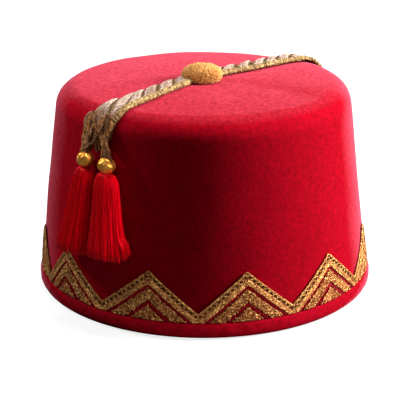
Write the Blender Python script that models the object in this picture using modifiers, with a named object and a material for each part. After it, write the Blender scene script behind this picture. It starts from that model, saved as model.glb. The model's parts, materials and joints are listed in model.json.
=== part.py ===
"""A felt fez: bound foot, gold zigzag embroidery, plaited strap, button, and two tassels under beads.

Metres, +Z up. The origin is on the floor, in the middle of the ring that the hat stands on.
The front looks along -Y, and azimuths are measured from +X, anticlockwise from above.
"""

import math

import bmesh
import bpy
import numpy as np
from mathutils import Matrix, Vector

# Felt cap
FOOT_RADIUS = 0.0935  # outside of the felt, where the wall's line meets the floor
WALL_LEAN = math.radians(6.92)  # how far the wall leans in from upright
RIM_HEIGHT = 0.1117  # floor to the outer rim of the top
SHOULDER_RADIUS = 0.0129  # rounding between wall and top
DOME_SLOPE = math.radians(4.0)  # slope of the top at its rim, which makes it slightly domed
FELT = 0.0025
GAP = 0.0003  # between pieces that touch on the real hat
ROUND_SEGMENTS = 64
SHOULDER_STEPS = 6
TOP_STEPS = 3  # rings of facets from the rim of the top to its middle
FINE_STEPS = 60  # stations on each stretch of the outline that lengths are measured along
WALL_RINGS = (0.014, 0.028, 0.045)  # heights of the rings of facets low on the wall

# How felt that is shaped by hand differs from a perfectly round hat
RAISED_SIDE = math.radians(8.0)  # azimuth at which the shoulder stands highest
RAISE = 0.00175
RAISE_SPREAD = math.cos(math.radians(44.0))  # it has faded out this far round on both sides
RAISE_FOOT = 0.080  # height at which the raise begins
PUSHED_SIDE = math.radians(180.0)  # azimuth at which the foot is pressed in
PUSH = 0.0016
PUSH_TOP = 0.045  # height at which the press has faded out
CENTRING = (-0.00079, 0.0)  # brings the pressed foot back to the middle of the frame

# Cloth binding, folded round the foot
BINDING_HEIGHT = 0.0083
BINDING_CLOTH = 0.0011
BINDING_FOLD = 0.0022  # padding under the felt's foot
BINDING_ROUNDING = 0.0024  # of its lower edge outside
BINDING_TURN_UP = 0.0065  # its height inside the hat
BINDING_ARC = (0, -30, -60, -90)  # stations of that rounding, in degrees

# Gold embroidery
ZIGZAG_PEAK = 0.0347  # height of the points
ZIGZAG_VALLEY = 0.0133  # height of the valleys between them
ZIGZAG_BAND = 0.0070  # upright width of the outer zigzag
CHEVRON_GAP = 0.0021
CHEVRON_BAND = 0.0068
TRIANGLE_GAP = 0.0025
EMBROIDERY_THICKNESS = 0.0010
ARM_STEPS = 4  # facets along one arm of the zigzag

# Azimuth in degrees of each point of the zigzag and of the valley that follows it, going round clockwise.
REPEATS = (
    # peak, valley
    (-11.0, -27.7),
    (-43.3, -60.1),
    (-75.8, -91.8),
    (-108.2, -125.0),
    (-143.6, -155.6),
    (-168.0, -185.0),
    (-202.0, -219.0),
    (-236.0, -252.5),
    (-269.5, -286.5),
    (-303.5, -320.5),
    (-337.0, -354.0),
)

# Plaited strap
STRAP_WIDTH = 0.0103
STRAP_THICKNESS = 0.0022
FRONT_AZIMUTH = math.radians(-127.2)  # where the strap goes over the near shoulder
FAR_AZIMUTH = math.radians(44.7)  # the way that it goes from the button
FAR_SHIFT = 0.0023  # sideways shift of that half, clockwise
SPLIT_HEIGHT = 0.0970  # where the hanging end divides in two
FAR_END_HEIGHT = 0.0880  # where the far end stops on the wall
TAIL_WIDTH = 0.0052  # each half of the divided end, just over its bead
TAIL_STEPS = 4

# The strap's shape along its run. Places count landmarks: 0 split, 1 near shoulder's foot, 2 near rim,
# 3 button, 4 far rim, 5 far shoulder's foot, 6 far end. Shares are of the strap's own width and thickness.
STRAP_SHAPE = (
    # place, width, drift to the left, lift
    (0.00, 1.76, 0.51, 0.30),
    (1.00, 1.82, 0.50, 0.05),
    (1.40, 1.81, 0.49, 0.00),
    (1.60, 1.72, 0.36, 0.00),
    (1.80, 1.50, 0.22, 0.00),
    (2.00, 1.31, 0.15, 0.00),
    (2.25, 1.08, 0.03, 0.00),
    (2.80, 0.96, 0.00, 0.00),
    (3.20, 1.00, 0.00, 0.00),
    (3.40, 1.18, -0.09, 0.00),
    (3.80, 1.22, -0.11, 0.00),
    (4.00, 1.24, -0.18, 0.08),
    (4.30, 1.20, -0.40, 0.30),
    (4.60, 1.16, -0.62, 0.50),
    (5.00, 1.16, -0.80, 0.45),
    (6.00, 1.10, -0.90, 0.00),
)
STRAP_STEPS = (3, 8, 9, 9, 8, 4)  # facets between one landmark and the next
STRAP_COLUMNS = (-0.5, -0.25, 0, 0.25, 0.5)  # across the strap, as shares of its width

# Button in the middle of the top
BUTTON_RADIUS = 0.0117
BUTTON_HEIGHT = 0.0079
BUTTON_WIDEST = 0.0029  # height over the felt at which it is widest
BUTTON_X = -0.0008
BUTTON_Y = -0.0070
BUTTON_SEGMENTS = 24
BUTTON_ARC = (70, 50, 33, 16, 0)  # stations of its dome, in degrees
CHANNEL_REACH = 2.0  # half length of the strap's channel under it, as a share of its radius
CHANNEL_STEPS = 16

# Beads
BEAD_RADIUS = 0.00465
BEAD_HEIGHT = 0.0084
BEAD_BORE = 0.0013
BEAD_CLEARANCE = 0.0006  # to the wall
BEAD_SEGMENTS = 14
BEAD_STEPS = 7  # facets from its top to its bottom

# Tassels
TASSEL_DEPTH = 0.0058  # half depth at the hem, from the wall outwards
LOCKS = 13
LOCK_LEVEL = 0.70  # distance of a lock's centre from the middle, as a share of the tassel's outline
LOCK_SIZE = 0.27  # radius of a lock, in the same share
LOCK_SWING = 0.05  # greatest turn of a lock round the tassel, in radians
LOCK_UNEVEN = 0.022  # half the difference between the longest and the shortest lock
SWING_STEP = 2.4  # radians from one lock to the next in the wave that gives their swings
LENGTH_STEP = 5.1  # the same in the wave that gives their lengths
LENGTH_START = 1.0
SETTLING = 0.3  # share of its length over which a tassel comes down onto the wall

# The core that the locks are fused to, as shares of the tassel's length and outline.
CORE_SHAPE = (
    # down, size
    (0.00, 0.55),
    (0.05, 0.80),
    (0.93, 0.80),
)

# One lock from its top to its tip, as shares of its length, level and size.
LOCK_SHAPE = (
    # down, level, size
    (0.00, 0.84, 0.75),
    (0.06, 0.95, 0.90),
    (0.20, 1.00, 0.95),
    (0.60, 1.00, 1.00),
    (0.90, 1.03, 0.95),
    (1.00, 1.06, 0.50),
)

# What hangs: azimuths in degrees at the bead and at the tassel's hem, heights, and half width at the hem.
HANGING = {
    "left": {"bead": -133.2, "hem": -136.4, "bead_height": 0.0867, "hem_height": 0.0370, "half": 0.0109},
    "right": {"bead": -123.8, "hem": -121.7, "bead_height": 0.0861, "hem_height": 0.0385, "half": 0.0121},
}

# The tassel's outline from its top to its hem, as shares of its length, hem half width and hem half depth.
TASSEL_OUTLINE = (
    # down, width, depth
    (0.00, 0.42, 0.62),
    (0.03, 0.50, 0.68),
    (0.09, 0.60, 0.76),
    (0.23, 0.68, 0.84),
    (0.48, 0.76, 0.88),
    (0.72, 0.87, 0.94),
    (0.89, 0.98, 0.98),
    (1.00, 1.00, 1.00),
)

# Thin cords over the hanging strap, each from a shared start to its bead
CORD_RADIUS = 0.0005
CORD_START_AZIMUTH = math.radians(-126.9)
CORD_START_HEIGHT = 0.1085
CORD_FORK_HEIGHT = 0.1045
CORD_START_APART = 0.0008  # half the distance between the two where they start
CORD_STEPS = 10

SHOULDER_HEIGHT = RIM_HEIGHT - SHOULDER_RADIUS * math.cos(DOME_SLOPE)  # centre of the rounding
SHOULDER_REACH = (
    FOOT_RADIUS - SHOULDER_HEIGHT * math.tan(WALL_LEAN) - SHOULDER_RADIUS / math.cos(WALL_LEAN)
)
BEAD_STANDOFF = BEAD_RADIUS + BEAD_CLEARANCE  # bead's centre from the wall


def wall_radius(height, offset=0.0):
    """Radius of the felt's outside at a height, or of a surface that lies an offset outside it."""
    return FOOT_RADIUS - height * math.tan(WALL_LEAN) + offset / math.cos(WALL_LEAN)


def crown_outline(offset, foot, shoulder_steps, top_steps):
    """(radius, height) from the foot to the middle of the top, a given offset outside the felt's outside."""
    points = [(wall_radius(height, offset), height) for height in (foot, *WALL_RINGS)]
    rounding = SHOULDER_RADIUS + offset
    for angle in np.linspace(WALL_LEAN, math.pi / 2 - DOME_SLOPE, shoulder_steps + 1):
        radius = SHOULDER_REACH + rounding * math.cos(angle)
        points.append((radius, SHOULDER_HEIGHT + rounding * math.sin(angle)))
    rim_radius, rim_height = points[-1]
    rise = 0.5 * math.tan(DOME_SLOPE) * rim_radius
    for share in np.linspace(1.0, 0.0, top_steps + 1)[1:]:
        points.append((rim_radius * share, rim_height + rise * (1 - share**2)))
    return points


def fine_meridian():
    """Columns run, radius, height, and the outward normal's two parts, from the middle of the top down."""
    points = np.array(crown_outline(0.0, 0.0, FINE_STEPS, FINE_STEPS))[::-1]
    run = np.concatenate([[0.0], np.cumsum(np.hypot(*np.diff(points, axis=0).T))])
    radius_slope = np.gradient(points[:, 0], run)
    height_slope = np.gradient(points[:, 1], run)
    return run, points[:, 0], points[:, 1], -height_slope, radius_slope


MERIDIAN = fine_meridian()
TOP_HEIGHT = MERIDIAN[2][0]  # floor to the middle of the top


def run_at_height(height):
    """Distance over the crown's outside, from the middle of the top down to a height."""
    return float(np.interp(-height, -MERIDIAN[2], MERIDIAN[0]))


def on_crown(run, azimuth, lift):
    """A point over the crown: run from the middle of the top along the outside, lifted off it."""
    radius, height, out, up = (float(np.interp(run, MERIDIAN[0], column)) for column in MERIDIAN[1:])
    level = radius + lift * out
    return Vector((level * math.cos(azimuth), level * math.sin(azimuth), height + lift * up))


def material(name, colour, roughness, metallic=0.0):
    made = bpy.data.materials.new(name)
    made.use_nodes = True
    shader = made.node_tree.nodes["Principled BSDF"]
    shader.inputs["Base Color"].default_value = (*colour, 1.0)
    shader.inputs["Roughness"].default_value = roughness
    shader.inputs["Metallic"].default_value = metallic
    made.diffuse_color = (*colour, 1.0)
    return made


def new_collection(name):
    made = bpy.data.collections.new(name)
    bpy.context.scene.collection.children.link(made)
    return made


def add_object(name, data, finish, collection):
    made = bpy.data.objects.new(name, data)
    if finish:
        data.materials.append(finish)
    collection.objects.link(made)
    return made


def mesh_from(build, name):
    """A mesh made with bmesh operators by the given function."""
    bm = bmesh.new()
    build(bm)
    mesh = bpy.data.meshes.new(name)
    bm.to_mesh(mesh)
    bm.free()
    return mesh


def smooth(mesh, angle=math.radians(40)):
    mesh.shade_smooth()
    mesh.set_sharp_from_angle(angle=angle)


def turned(name, profile, segments, finish, collection):
    """A closed profile of (radius, height) turned round Z. It runs down its outer side."""
    mesh = bpy.data.meshes.new(name)
    edges = [(i, (i + 1) % len(profile)) for i in range(len(profile))]
    if profile[0][0] == 0 and profile[-1][0] == 0:
        edges.pop()
    mesh.from_pydata([(radius, 0.0, height) for radius, height in profile], edges, [])
    made = add_object(name, mesh, finish, collection)
    screw = made.modifiers.new("turn", "SCREW")
    screw.steps = screw.render_steps = segments
    screw.use_merge_vertices = True
    screw.merge_threshold = 1e-6
    screw.use_smooth_shade = True
    return made


def solidified(made, thickness):
    """Thickens an open sheet on the side that its faces look to."""
    thicken = made.modifiers.new("thickness", "SOLIDIFY")
    thicken.thickness = thickness
    thicken.offset = 1.0
    return made


def evaluated_mesh(source, name):
    """The object's mesh with its modifiers applied, or a curve's mesh with its caps welded on."""
    bpy.context.view_layer.update()
    graph = bpy.context.evaluated_depsgraph_get()
    mesh = bpy.data.meshes.new_from_object(source.evaluated_get(graph))
    mesh.name = name
    bm = bmesh.new()
    bm.from_mesh(mesh)
    bmesh.ops.remove_doubles(bm, verts=bm.verts, dist=1e-7)
    bm.to_mesh(mesh)
    bm.free()
    return mesh


def tube(name, points, radii, resolution, finish, collection):
    """A round tube along points, with a radius at each and filled ends."""
    curve = bpy.data.curves.new(name, "CURVE")
    curve.dimensions = "3D"
    curve.bevel_depth = 1.0
    curve.bevel_resolution = resolution
    curve.use_fill_caps = True
    spline = curve.splines.new("POLY")
    spline.points.add(len(points) - 1)
    for point, place, radius in zip(spline.points, points, radii):
        point.co = (*place, 1.0)
        point.radius = radius
    return add_object(name, curve, finish, collection)


def make_crown(parts):
    """The felt: outside and inside are the same outline, one wall apart."""
    foot = BINDING_FOLD + GAP
    outside = crown_outline(0.0, foot, SHOULDER_STEPS, TOP_STEPS)[::-1]
    inside = crown_outline(-FELT, foot, SHOULDER_STEPS, TOP_STEPS)
    finish = material("red_felt", (0.62, 0.02, 0.04), 0.95)
    turned("crown", outside + inside, ROUND_SEGMENTS, finish, parts)


def make_binding(parts):
    """Cloth round the foot, U-shaped in section, with a flat foot and a rounded lower edge outside."""
    outer = GAP + BINDING_CLOTH
    inner = -FELT - outer
    edge = 0.5 * BINDING_CLOTH
    middle = wall_radius(BINDING_ROUNDING, outer) - BINDING_ROUNDING
    profile = [
        (wall_radius(BINDING_HEIGHT, outer - 0.5 * edge), BINDING_HEIGHT),
        (wall_radius(BINDING_HEIGHT - edge, outer), BINDING_HEIGHT - edge),
    ]
    for angle in np.radians(BINDING_ARC):
        reach = BINDING_ROUNDING * math.cos(angle)
        profile.append((middle + reach, BINDING_ROUNDING * (1 + math.sin(angle))))
    profile += [
        (wall_radius(0.0, inner) + edge, 0.0),
        (wall_radius(edge, inner), edge),
        (wall_radius(BINDING_TURN_UP, inner), BINDING_TURN_UP),
        (wall_radius(BINDING_TURN_UP, -FELT - GAP), BINDING_TURN_UP),
        (wall_radius(BINDING_FOLD, -FELT - GAP), BINDING_FOLD),
        (wall_radius(BINDING_FOLD, GAP), BINDING_FOLD),
        (wall_radius(BINDING_HEIGHT, GAP), BINDING_HEIGHT),
    ]
    finish = material("red_binding", (0.35, 0.01, 0.03), 0.9)
    turned("hem_binding", profile, ROUND_SEGMENTS, finish, parts)


def arms():
    """Each point of the zigzag with the valleys on both sides of it, as azimuths in degrees."""
    for index, (peak, after) in enumerate(REPEATS):
        before = REPEATS[index - 1][1] + (360.0 if index == 0 else 0.0)
        yield index + 1, before, peak, after


def embroidered(azimuth, height):
    """A point on the back of the embroidery, which follows the wall."""
    radius, turn = wall_radius(height, GAP), math.radians(azimuth)
    return Vector((radius * math.cos(turn), radius * math.sin(turn), height))


def make_zigzag(parts):
    """The outer band: one closed ring of gold, whose lower edge is cut off where the binding covers it."""
    floor = BINDING_HEIGHT + GAP
    rise = ZIGZAG_PEAK - ZIGZAG_VALLEY
    cut = max(0.0, (floor + ZIGZAG_BAND - ZIGZAG_VALLEY) / rise)
    shares = [0.0, *np.linspace(cut, 1.0, ARM_STEPS + 1)]
    stations = []
    for _, before, peak, after in arms():
        for share in shares[:-1]:
            stations.append((before + (peak - before) * share, ZIGZAG_VALLEY + rise * share))
        for share in shares[:0:-1]:
            stations.append((after + (peak - after) * share, ZIGZAG_VALLEY + rise * share))

    def build(bm):
        bmesh.ops.create_cone(
            bm, cap_ends=False, segments=len(stations), radius1=1.0, radius2=1.0, depth=2.0
        )
        ordered = sorted(bm.verts, key=lambda v: -(math.atan2(v.co.y, v.co.x) % (2 * math.pi)))
        for index, vert in enumerate(ordered):
            azimuth, top = stations[index // 2]
            low = max(top - ZIGZAG_BAND, floor)
            vert.co = embroidered(azimuth, top if vert.co.z > 0 else low)

    finish = material("gold_gimp", (0.60, 0.42, 0.18), 0.55, 0.5)
    made = add_object("zigzag_braid", mesh_from(build, "zigzag_braid"), finish, parts)
    solidified(made, EMBROIDERY_THICKNESS)


def add_grid(bm, rows):
    """Adds faces through rows of points, all of one length."""
    made = bmesh.ops.create_grid(bm, x_segments=len(rows) - 1, y_segments=len(rows[0]) - 1, size=1.0)
    ordered = sorted(made["verts"], key=lambda v: (round(v.co.x, 4), v.co.y))
    for vert, place in zip(ordered, [place for row in rows for place in row]):
        vert.co = place


def strip(name, columns, finish, parts):
    """A sheet on the wall from pairs of (azimuth, height), one above and one below, then thickened."""

    def build(bm):
        add_grid(bm, [[embroidered(*place) for place in pair] for pair in columns])
        bmesh.ops.remove_doubles(bm, verts=bm.verts, dist=1e-6)

    return solidified(add_object(name, mesh_from(build, name), finish, parts), EMBROIDERY_THICKNESS)


def make_chevrons(parts):
    """Under each point, a chevron and a filled triangle, both cut off where the binding covers them."""
    floor = BINDING_HEIGHT + GAP
    chevron_finish = material("gold_chevron", (0.60, 0.42, 0.18), 0.6, 0.4)
    triangle_finish = material("gold_triangle", (0.50, 0.34, 0.14), 0.65, 0.4)
    rise = ZIGZAG_PEAK - ZIGZAG_VALLEY
    outer = ZIGZAG_PEAK - ZIGZAG_BAND - CHEVRON_GAP
    inner = outer - CHEVRON_BAND
    point = inner - TRIANGLE_GAP
    for number, before, peak, after in arms():

        def foot(apex, valley):
            """Azimuth at which an edge that falls from the apex reaches the binding."""
            return peak + (valley - peak) * (apex - floor) / rise

        columns = []
        rising, falling = np.linspace(0, 1, ARM_STEPS), np.linspace(1, 0, ARM_STEPS)[1:]
        for valley, shares in ((before, rising), (after, falling)):
            for share in shares:
                pair = []
                for apex in (inner, outer):
                    start = foot(apex, valley)
                    pair.append((start + (peak - start) * share, floor + (apex - floor) * share))
                columns.append(tuple(pair))
        # The grid runs with the azimuth, so that its faces look outwards.
        strip(f"chevron_{number:02d}", columns[::-1], chevron_finish, parts)

        columns = []
        for valley, shares in ((before, (0, 0.5, 1)), (after, (0.5, 0))):
            for share in shares:
                azimuth = foot(point, valley) + (peak - foot(point, valley)) * share
                columns.append(((azimuth, floor), (azimuth, floor + (point - floor) * share)))
        strip(f"triangle_{number:02d}", columns[::-1], triangle_finish, parts)


def strap_landmarks():
    """Signed runs of the strap's landmarks, negative on the near side of the button."""
    rim = run_at_height(RIM_HEIGHT)
    wall = run_at_height(SHOULDER_HEIGHT + SHOULDER_RADIUS * math.sin(WALL_LEAN))
    return [-run_at_height(SPLIT_HEIGHT), -wall, -rim, 0.0, rim, wall, run_at_height(FAR_END_HEIGHT)]


def strap_shape(place):
    """(run, width, drift, lift) of the strap at a place."""
    table = np.array(STRAP_SHAPE)
    width, drift, lift = (float(np.interp(place, table[:, 0], column)) for column in table.T[1:])
    run = float(np.interp(place, range(7), strap_landmarks()))
    return run, width * STRAP_WIDTH, drift * STRAP_WIDTH, lift * STRAP_THICKNESS


def strap_point(run, side, lift):
    """A point over the crown in the strap's own directions: along it, to its left and off the felt.

    The crown's outside is read as an unrolled disc round the middle of the top. The near half is a straight
    line to the middle, the far half a straight line a little aside, and they blend below the button.
    """
    near = Vector((-math.cos(FRONT_AZIMUTH), -math.sin(FRONT_AZIMUTH)))
    far = Vector((math.cos(FAR_AZIMUTH), math.sin(FAR_AZIMUTH)))
    share = min(max(0.5 + 0.5 * run / BUTTON_RADIUS, 0.0), 1.0)
    share = share * share * (3 - 2 * share)
    shift = Vector((far.y, -far.x)) * FAR_SHIFT
    along = near.lerp(far, share).normalized()
    middle = (near * run).lerp(far * run + shift, share)
    stretch = max(1.0, abs(run) / float(np.interp(abs(run), MERIDIAN[0], MERIDIAN[1]) or 1.0))
    place = middle + Vector((-along.y, along.x)) * side * stretch
    return on_crown(place.length, math.atan2(place.y, place.x), lift)


def tail_end(side):
    """(run, side, lift) of the middle of a tail's end, just over its bead."""
    hang = HANGING[side]
    height = hang["bead_height"] + 0.5 * BEAD_HEIGHT * math.cos(WALL_LEAN) + GAP
    arc = math.radians(hang["bead"]) - FRONT_AZIMUTH
    return -run_at_height(height), -arc * wall_radius(height), BEAD_STANDOFF - 0.5 * STRAP_THICKNESS


def eased(share):
    """A share from 0 to 1 that starts and stops gently."""
    share = min(max(share, 0.0), 1.0)
    return share * share * (3 - 2 * share)


def hanging_lift(side, run):
    """How far the underside of the strap, or of its tail, is off the felt at a signed run."""
    split = strap_shape(0.0)[0]
    if run > split:
        return strap_shape(float(np.interp(run, strap_landmarks(), range(7))))[3]
    end, _, end_lift = tail_end(side)
    lift = strap_shape(0.0)[3]
    return lift + (end_lift - lift) * eased((run - split) / (end - split))


def tail_rows(side):
    """One half of the divided end: it narrows from half the strap to its bead and leaves the wall."""
    run, width, drift, _ = strap_shape(0.0)
    end_run, end_side, _ = tail_end(side)
    outward = 1 if side == "left" else -1
    rows = []
    for share in np.linspace(1.0, 0.0, TAIL_STEPS + 1):
        moved = eased(share)
        inner = drift * (1 - moved) + (end_side - 0.5 * outward * TAIL_WIDTH) * moved
        outer = (drift + 0.5 * outward * width) * (1 - moved)
        outer += (end_side + 0.5 * outward * TAIL_WIDTH) * moved
        here = run + (end_run - run) * share
        lift = hanging_lift(side, here) + GAP
        rows.append([strap_point(here, place, lift) for place in (inner, 0.5 * (inner + outer), outer)])
    return rows


def make_strap(parts):
    """One sheet on the crown, thickened: the main run, and the end below the split in two halves."""
    main = []
    places = [0.0]
    for landmark, steps in enumerate(STRAP_STEPS):
        places.extend(landmark + np.linspace(0, 1, steps + 1)[1:])
    for place in places:
        run, width, drift, lift = strap_shape(place)
        main.append([strap_point(run, drift + width * share, lift + GAP) for share in STRAP_COLUMNS])

    def build(bm):
        add_grid(bm, main)
        add_grid(bm, tail_rows("left"))
        add_grid(bm, [row[::-1] for row in tail_rows("right")])
        bmesh.ops.remove_doubles(bm, verts=bm.verts, dist=1e-6)

    finish = material("gold_braid", (0.68, 0.52, 0.34), 0.6, 0.35)
    solidified(add_object("strap", mesh_from(build, "strap"), finish, parts), STRAP_THICKNESS)


def make_button(parts, cutters):
    """A domed button with a flat underside, and a channel through which the strap runs."""
    base = TOP_HEIGHT + GAP
    half = BUTTON_HEIGHT - BUTTON_WIDEST
    lowest = -math.asin(BUTTON_WIDEST / half)
    profile = [(0.0, base + BUTTON_HEIGHT)]
    for angle in (*np.radians(BUTTON_ARC), 0.5 * lowest, lowest):
        profile.append((BUTTON_RADIUS * math.cos(angle), base + BUTTON_WIDEST + half * math.sin(angle)))
    profile.append((0.0, base))
    finish = material("gold_pile", (0.75, 0.45, 0.13), 0.9)
    button = turned("button", profile, BUTTON_SEGMENTS, finish, parts)
    button.location = (BUTTON_X, BUTTON_Y, 0.0)

    width, reach = STRAP_WIDTH + 2 * GAP, CHANNEL_REACH * BUTTON_RADIUS
    rows = []
    for run in np.linspace(-reach, reach, CHANNEL_STEPS + 1):
        rows.append([strap_point(run, width * share, -FELT) for share in STRAP_COLUMNS])
    channel_mesh = mesh_from(lambda bm: add_grid(bm, rows), "button_channel")
    channel = add_object("button_channel", channel_mesh, None, cutters)
    solidified(channel, FELT + GAP + STRAP_THICKNESS + GAP)
    channel.data = evaluated_mesh(channel, "button_channel")
    channel.modifiers.clear()
    channel.hide_render = True
    channel.display_type = "WIRE"
    cut = button.modifiers.new("channel", "BOOLEAN")
    cut.operation = "DIFFERENCE"
    cut.solver = "EXACT"
    cut.object = channel


def hanging_frame(azimuth, height, standoff):
    """A frame on the wall: X sideways, Y out from the wall, Z up along it."""
    out = Vector((math.cos(azimuth), math.sin(azimuth), 0.0))
    sideways = Vector((-out.y, out.x, 0.0))
    up = Vector((0.0, 0.0, 1.0)) * math.cos(WALL_LEAN) - out * math.sin(WALL_LEAN)
    normal = out * math.cos(WALL_LEAN) + Vector((0.0, 0.0, 1.0)) * math.sin(WALL_LEAN)
    place = out * wall_radius(height) + Vector((0.0, 0.0, height)) + normal * standoff
    frame = Matrix((sideways, -normal, up)).transposed().to_4x4()
    frame.translation = place
    return frame


def make_beads(parts):
    """Flattened beads, drilled along their axis."""
    profile = []
    half = 0.5 * BEAD_HEIGHT
    lip = math.asin(BEAD_BORE / BEAD_RADIUS)
    for angle in np.linspace(math.pi / 2 - lip, lip - math.pi / 2, BEAD_STEPS + 1):
        profile.append((BEAD_RADIUS * math.cos(angle), half * math.sin(angle)))
    finish = material("polished_gold", (0.80, 0.48, 0.12), 0.18, 1.0)
    for side, hang in HANGING.items():
        bead = turned(f"bead_{side}", profile, BEAD_SEGMENTS, finish, parts)
        bead.matrix_world = hanging_frame(math.radians(hang["bead"]), hang["bead_height"], BEAD_STANDOFF)


def straight_tassel(name, cutters):
    """A tassel of unit outline, one unit long from 0 down to -1: locks round a core, fused."""
    points = [(0.0, 0.0, -down) for down, _ in CORE_SHAPE]
    core = tube(f"{name}_core", points, [size for _, size in CORE_SHAPE], 3, None, cutters)
    locks = new_collection(f"{name}_locks")
    for index in range(LOCKS):
        angle = 2 * math.pi * (index + 0.5) / LOCKS
        swing = LOCK_SWING * math.sin(SWING_STEP * index)
        length = 1.0 - LOCK_UNEVEN * (1 + math.sin(LENGTH_STEP * index + LENGTH_START))
        points, radii = [], []
        for share, level, size in LOCK_SHAPE:
            turn = angle + swing * share
            reach = LOCK_LEVEL * level
            points.append((reach * math.cos(turn), reach * math.sin(turn), -share * length))
            radii.append(LOCK_SIZE * size)
        lock = tube(f"{name}_lock_{index + 1:02d}", points, radii, 1, None, locks)
        mesh = evaluated_mesh(lock, lock.name)
        made = add_object(f"{lock.name}_solid", mesh, None, locks)
        bpy.data.objects.remove(lock)
        made.hide_render = True
        made.display_type = "WIRE"
    body = add_object(f"{name}_body", evaluated_mesh(core, f"{name}_body"), None, cutters)
    bpy.data.objects.remove(core)
    fuse = body.modifiers.new("fuse", "BOOLEAN")
    fuse.operation = "UNION"
    fuse.solver = "EXACT"
    fuse.operand_type = "COLLECTION"
    fuse.collection = locks
    mesh = evaluated_mesh(body, name)
    bpy.data.objects.remove(body)
    for made in list(locks.objects):
        bpy.data.objects.remove(made)
    bpy.data.collections.remove(locks)
    return mesh


def make_tassels(parts, cutters):
    """Each tassel is made straight and round, then flattened against the wall and bent to its hem."""
    outline = np.array(TASSEL_OUTLINE)
    finish = material("red_thread", (0.55, 0.01, 0.02), 0.5)
    for side, hang in HANGING.items():
        name = f"tassel_{side}"
        mesh = straight_tassel(name, cutters)
        top = hang["bead_height"] - 0.5 * BEAD_HEIGHT * math.cos(WALL_LEAN) - GAP
        for vert in mesh.vertices:
            x, y, z = vert.co
            down = min(max(-z, 0.0), 1.0)
            width = hang["half"] * float(np.interp(down, outline[:, 0], outline[:, 1]))
            depth = TASSEL_DEPTH * float(np.interp(down, outline[:, 0], outline[:, 2]))
            azimuth = math.radians(hang["bead"] + (hang["hem"] - hang["bead"]) * down)
            height = top + (hang["hem_height"] - top) * down
            settled = BEAD_STANDOFF + (depth - BEAD_STANDOFF) * min(down / SETTLING, 1.0)
            standoff = max(depth + GAP, settled)
            vert.co = hanging_frame(azimuth, height, standoff) @ Vector((x * width, y * depth, 0.0))
        smooth(mesh)
        add_object(name, mesh, finish, parts)


def make_cords(parts, cutters):
    """Two thin cords from one start on the hanging strap, each down to the front of its bead."""
    finish = material("brown_cord", (0.28, 0.17, 0.07), 0.7)
    over = STRAP_THICKNESS + 3 * GAP + CORD_RADIUS
    for side, hang in HANGING.items():
        outward = 1 if side == "left" else -1
        end = hang["bead_height"] + 0.5 * BEAD_HEIGHT + GAP + CORD_RADIUS
        points = []
        for height in np.linspace(CORD_START_HEIGHT, end, CORD_STEPS + 1):
            spread = max(0.0, (CORD_FORK_HEIGHT - height) / (CORD_FORK_HEIGHT - end))
            start = CORD_START_AZIMUTH - outward * CORD_START_APART / wall_radius(height)
            azimuth = start + (math.radians(hang["bead"]) - start) * spread
            run = run_at_height(height)
            points.append(on_crown(run, azimuth, hanging_lift(side, -run) + over))
        cord = tube(f"cord_{side}", points, [CORD_RADIUS] * len(points), 2, finish, cutters)
        name = f"tassel_cord_{side}"
        add_object(name, evaluated_mesh(cord, name), None, parts)
        bpy.data.objects.remove(cord)


def hand_blocked(place):
    """Where a point of the perfectly round hat lies on this one."""
    turn = math.atan2(place.y, place.x)
    raised = eased((math.cos(turn - RAISED_SIDE) - RAISE_SPREAD) / (1.0 - RAISE_SPREAD))
    raised *= eased(place.xy.length / SHOULDER_REACH)
    raised *= eased((place.z - RAISE_FOOT) / (RIM_HEIGHT - RAISE_FOOT))
    pushed = max(0.0, math.cos(turn - PUSHED_SIDE)) ** 2 * (1.0 - eased(place.z / PUSH_TOP))
    level = place.xy.length - PUSH * pushed
    return Vector(
        (
            level * math.cos(turn) + CENTRING[0],
            level * math.sin(turn) + CENTRING[1],
            place.z + RAISE * raised,
        )
    )


def block_by_hand(parts):
    """Every piece becomes a plain mesh and follows the felt."""
    for made in parts.objects:
        mesh = evaluated_mesh(made, made.name)
        for vert in mesh.vertices:
            vert.co = hand_blocked(made.matrix_world @ vert.co)
        made.modifiers.clear()
        made.data = mesh
        made.matrix_world = Matrix()


def main():
    for old in list(bpy.data.objects):
        bpy.data.objects.remove(old)
    parts = new_collection("fez_hat")
    cutters = new_collection("cutters")
    cutters.hide_render = True
    make_crown(parts)
    make_binding(parts)
    make_zigzag(parts)
    make_chevrons(parts)
    make_strap(parts)
    make_button(parts, cutters)
    make_beads(parts)
    make_tassels(parts, cutters)
    make_cords(parts, cutters)
    block_by_hand(parts)


main()
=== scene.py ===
# %% [markdown]
# # A felt fez with gold braid and two tassels
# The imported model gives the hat's solids: a felt crown, a bound foot, bands of embroidery, a plaited strap,
# a button, beads and tassels. They are right in size and place, and plain. Each cell below takes one of
# them and makes what the eye sees: felt with a nap, thread that is really twisted, tassels of fine strands.

import json
import math

import bmesh
import bpy
import numpy as np
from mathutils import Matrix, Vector, noise

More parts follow.
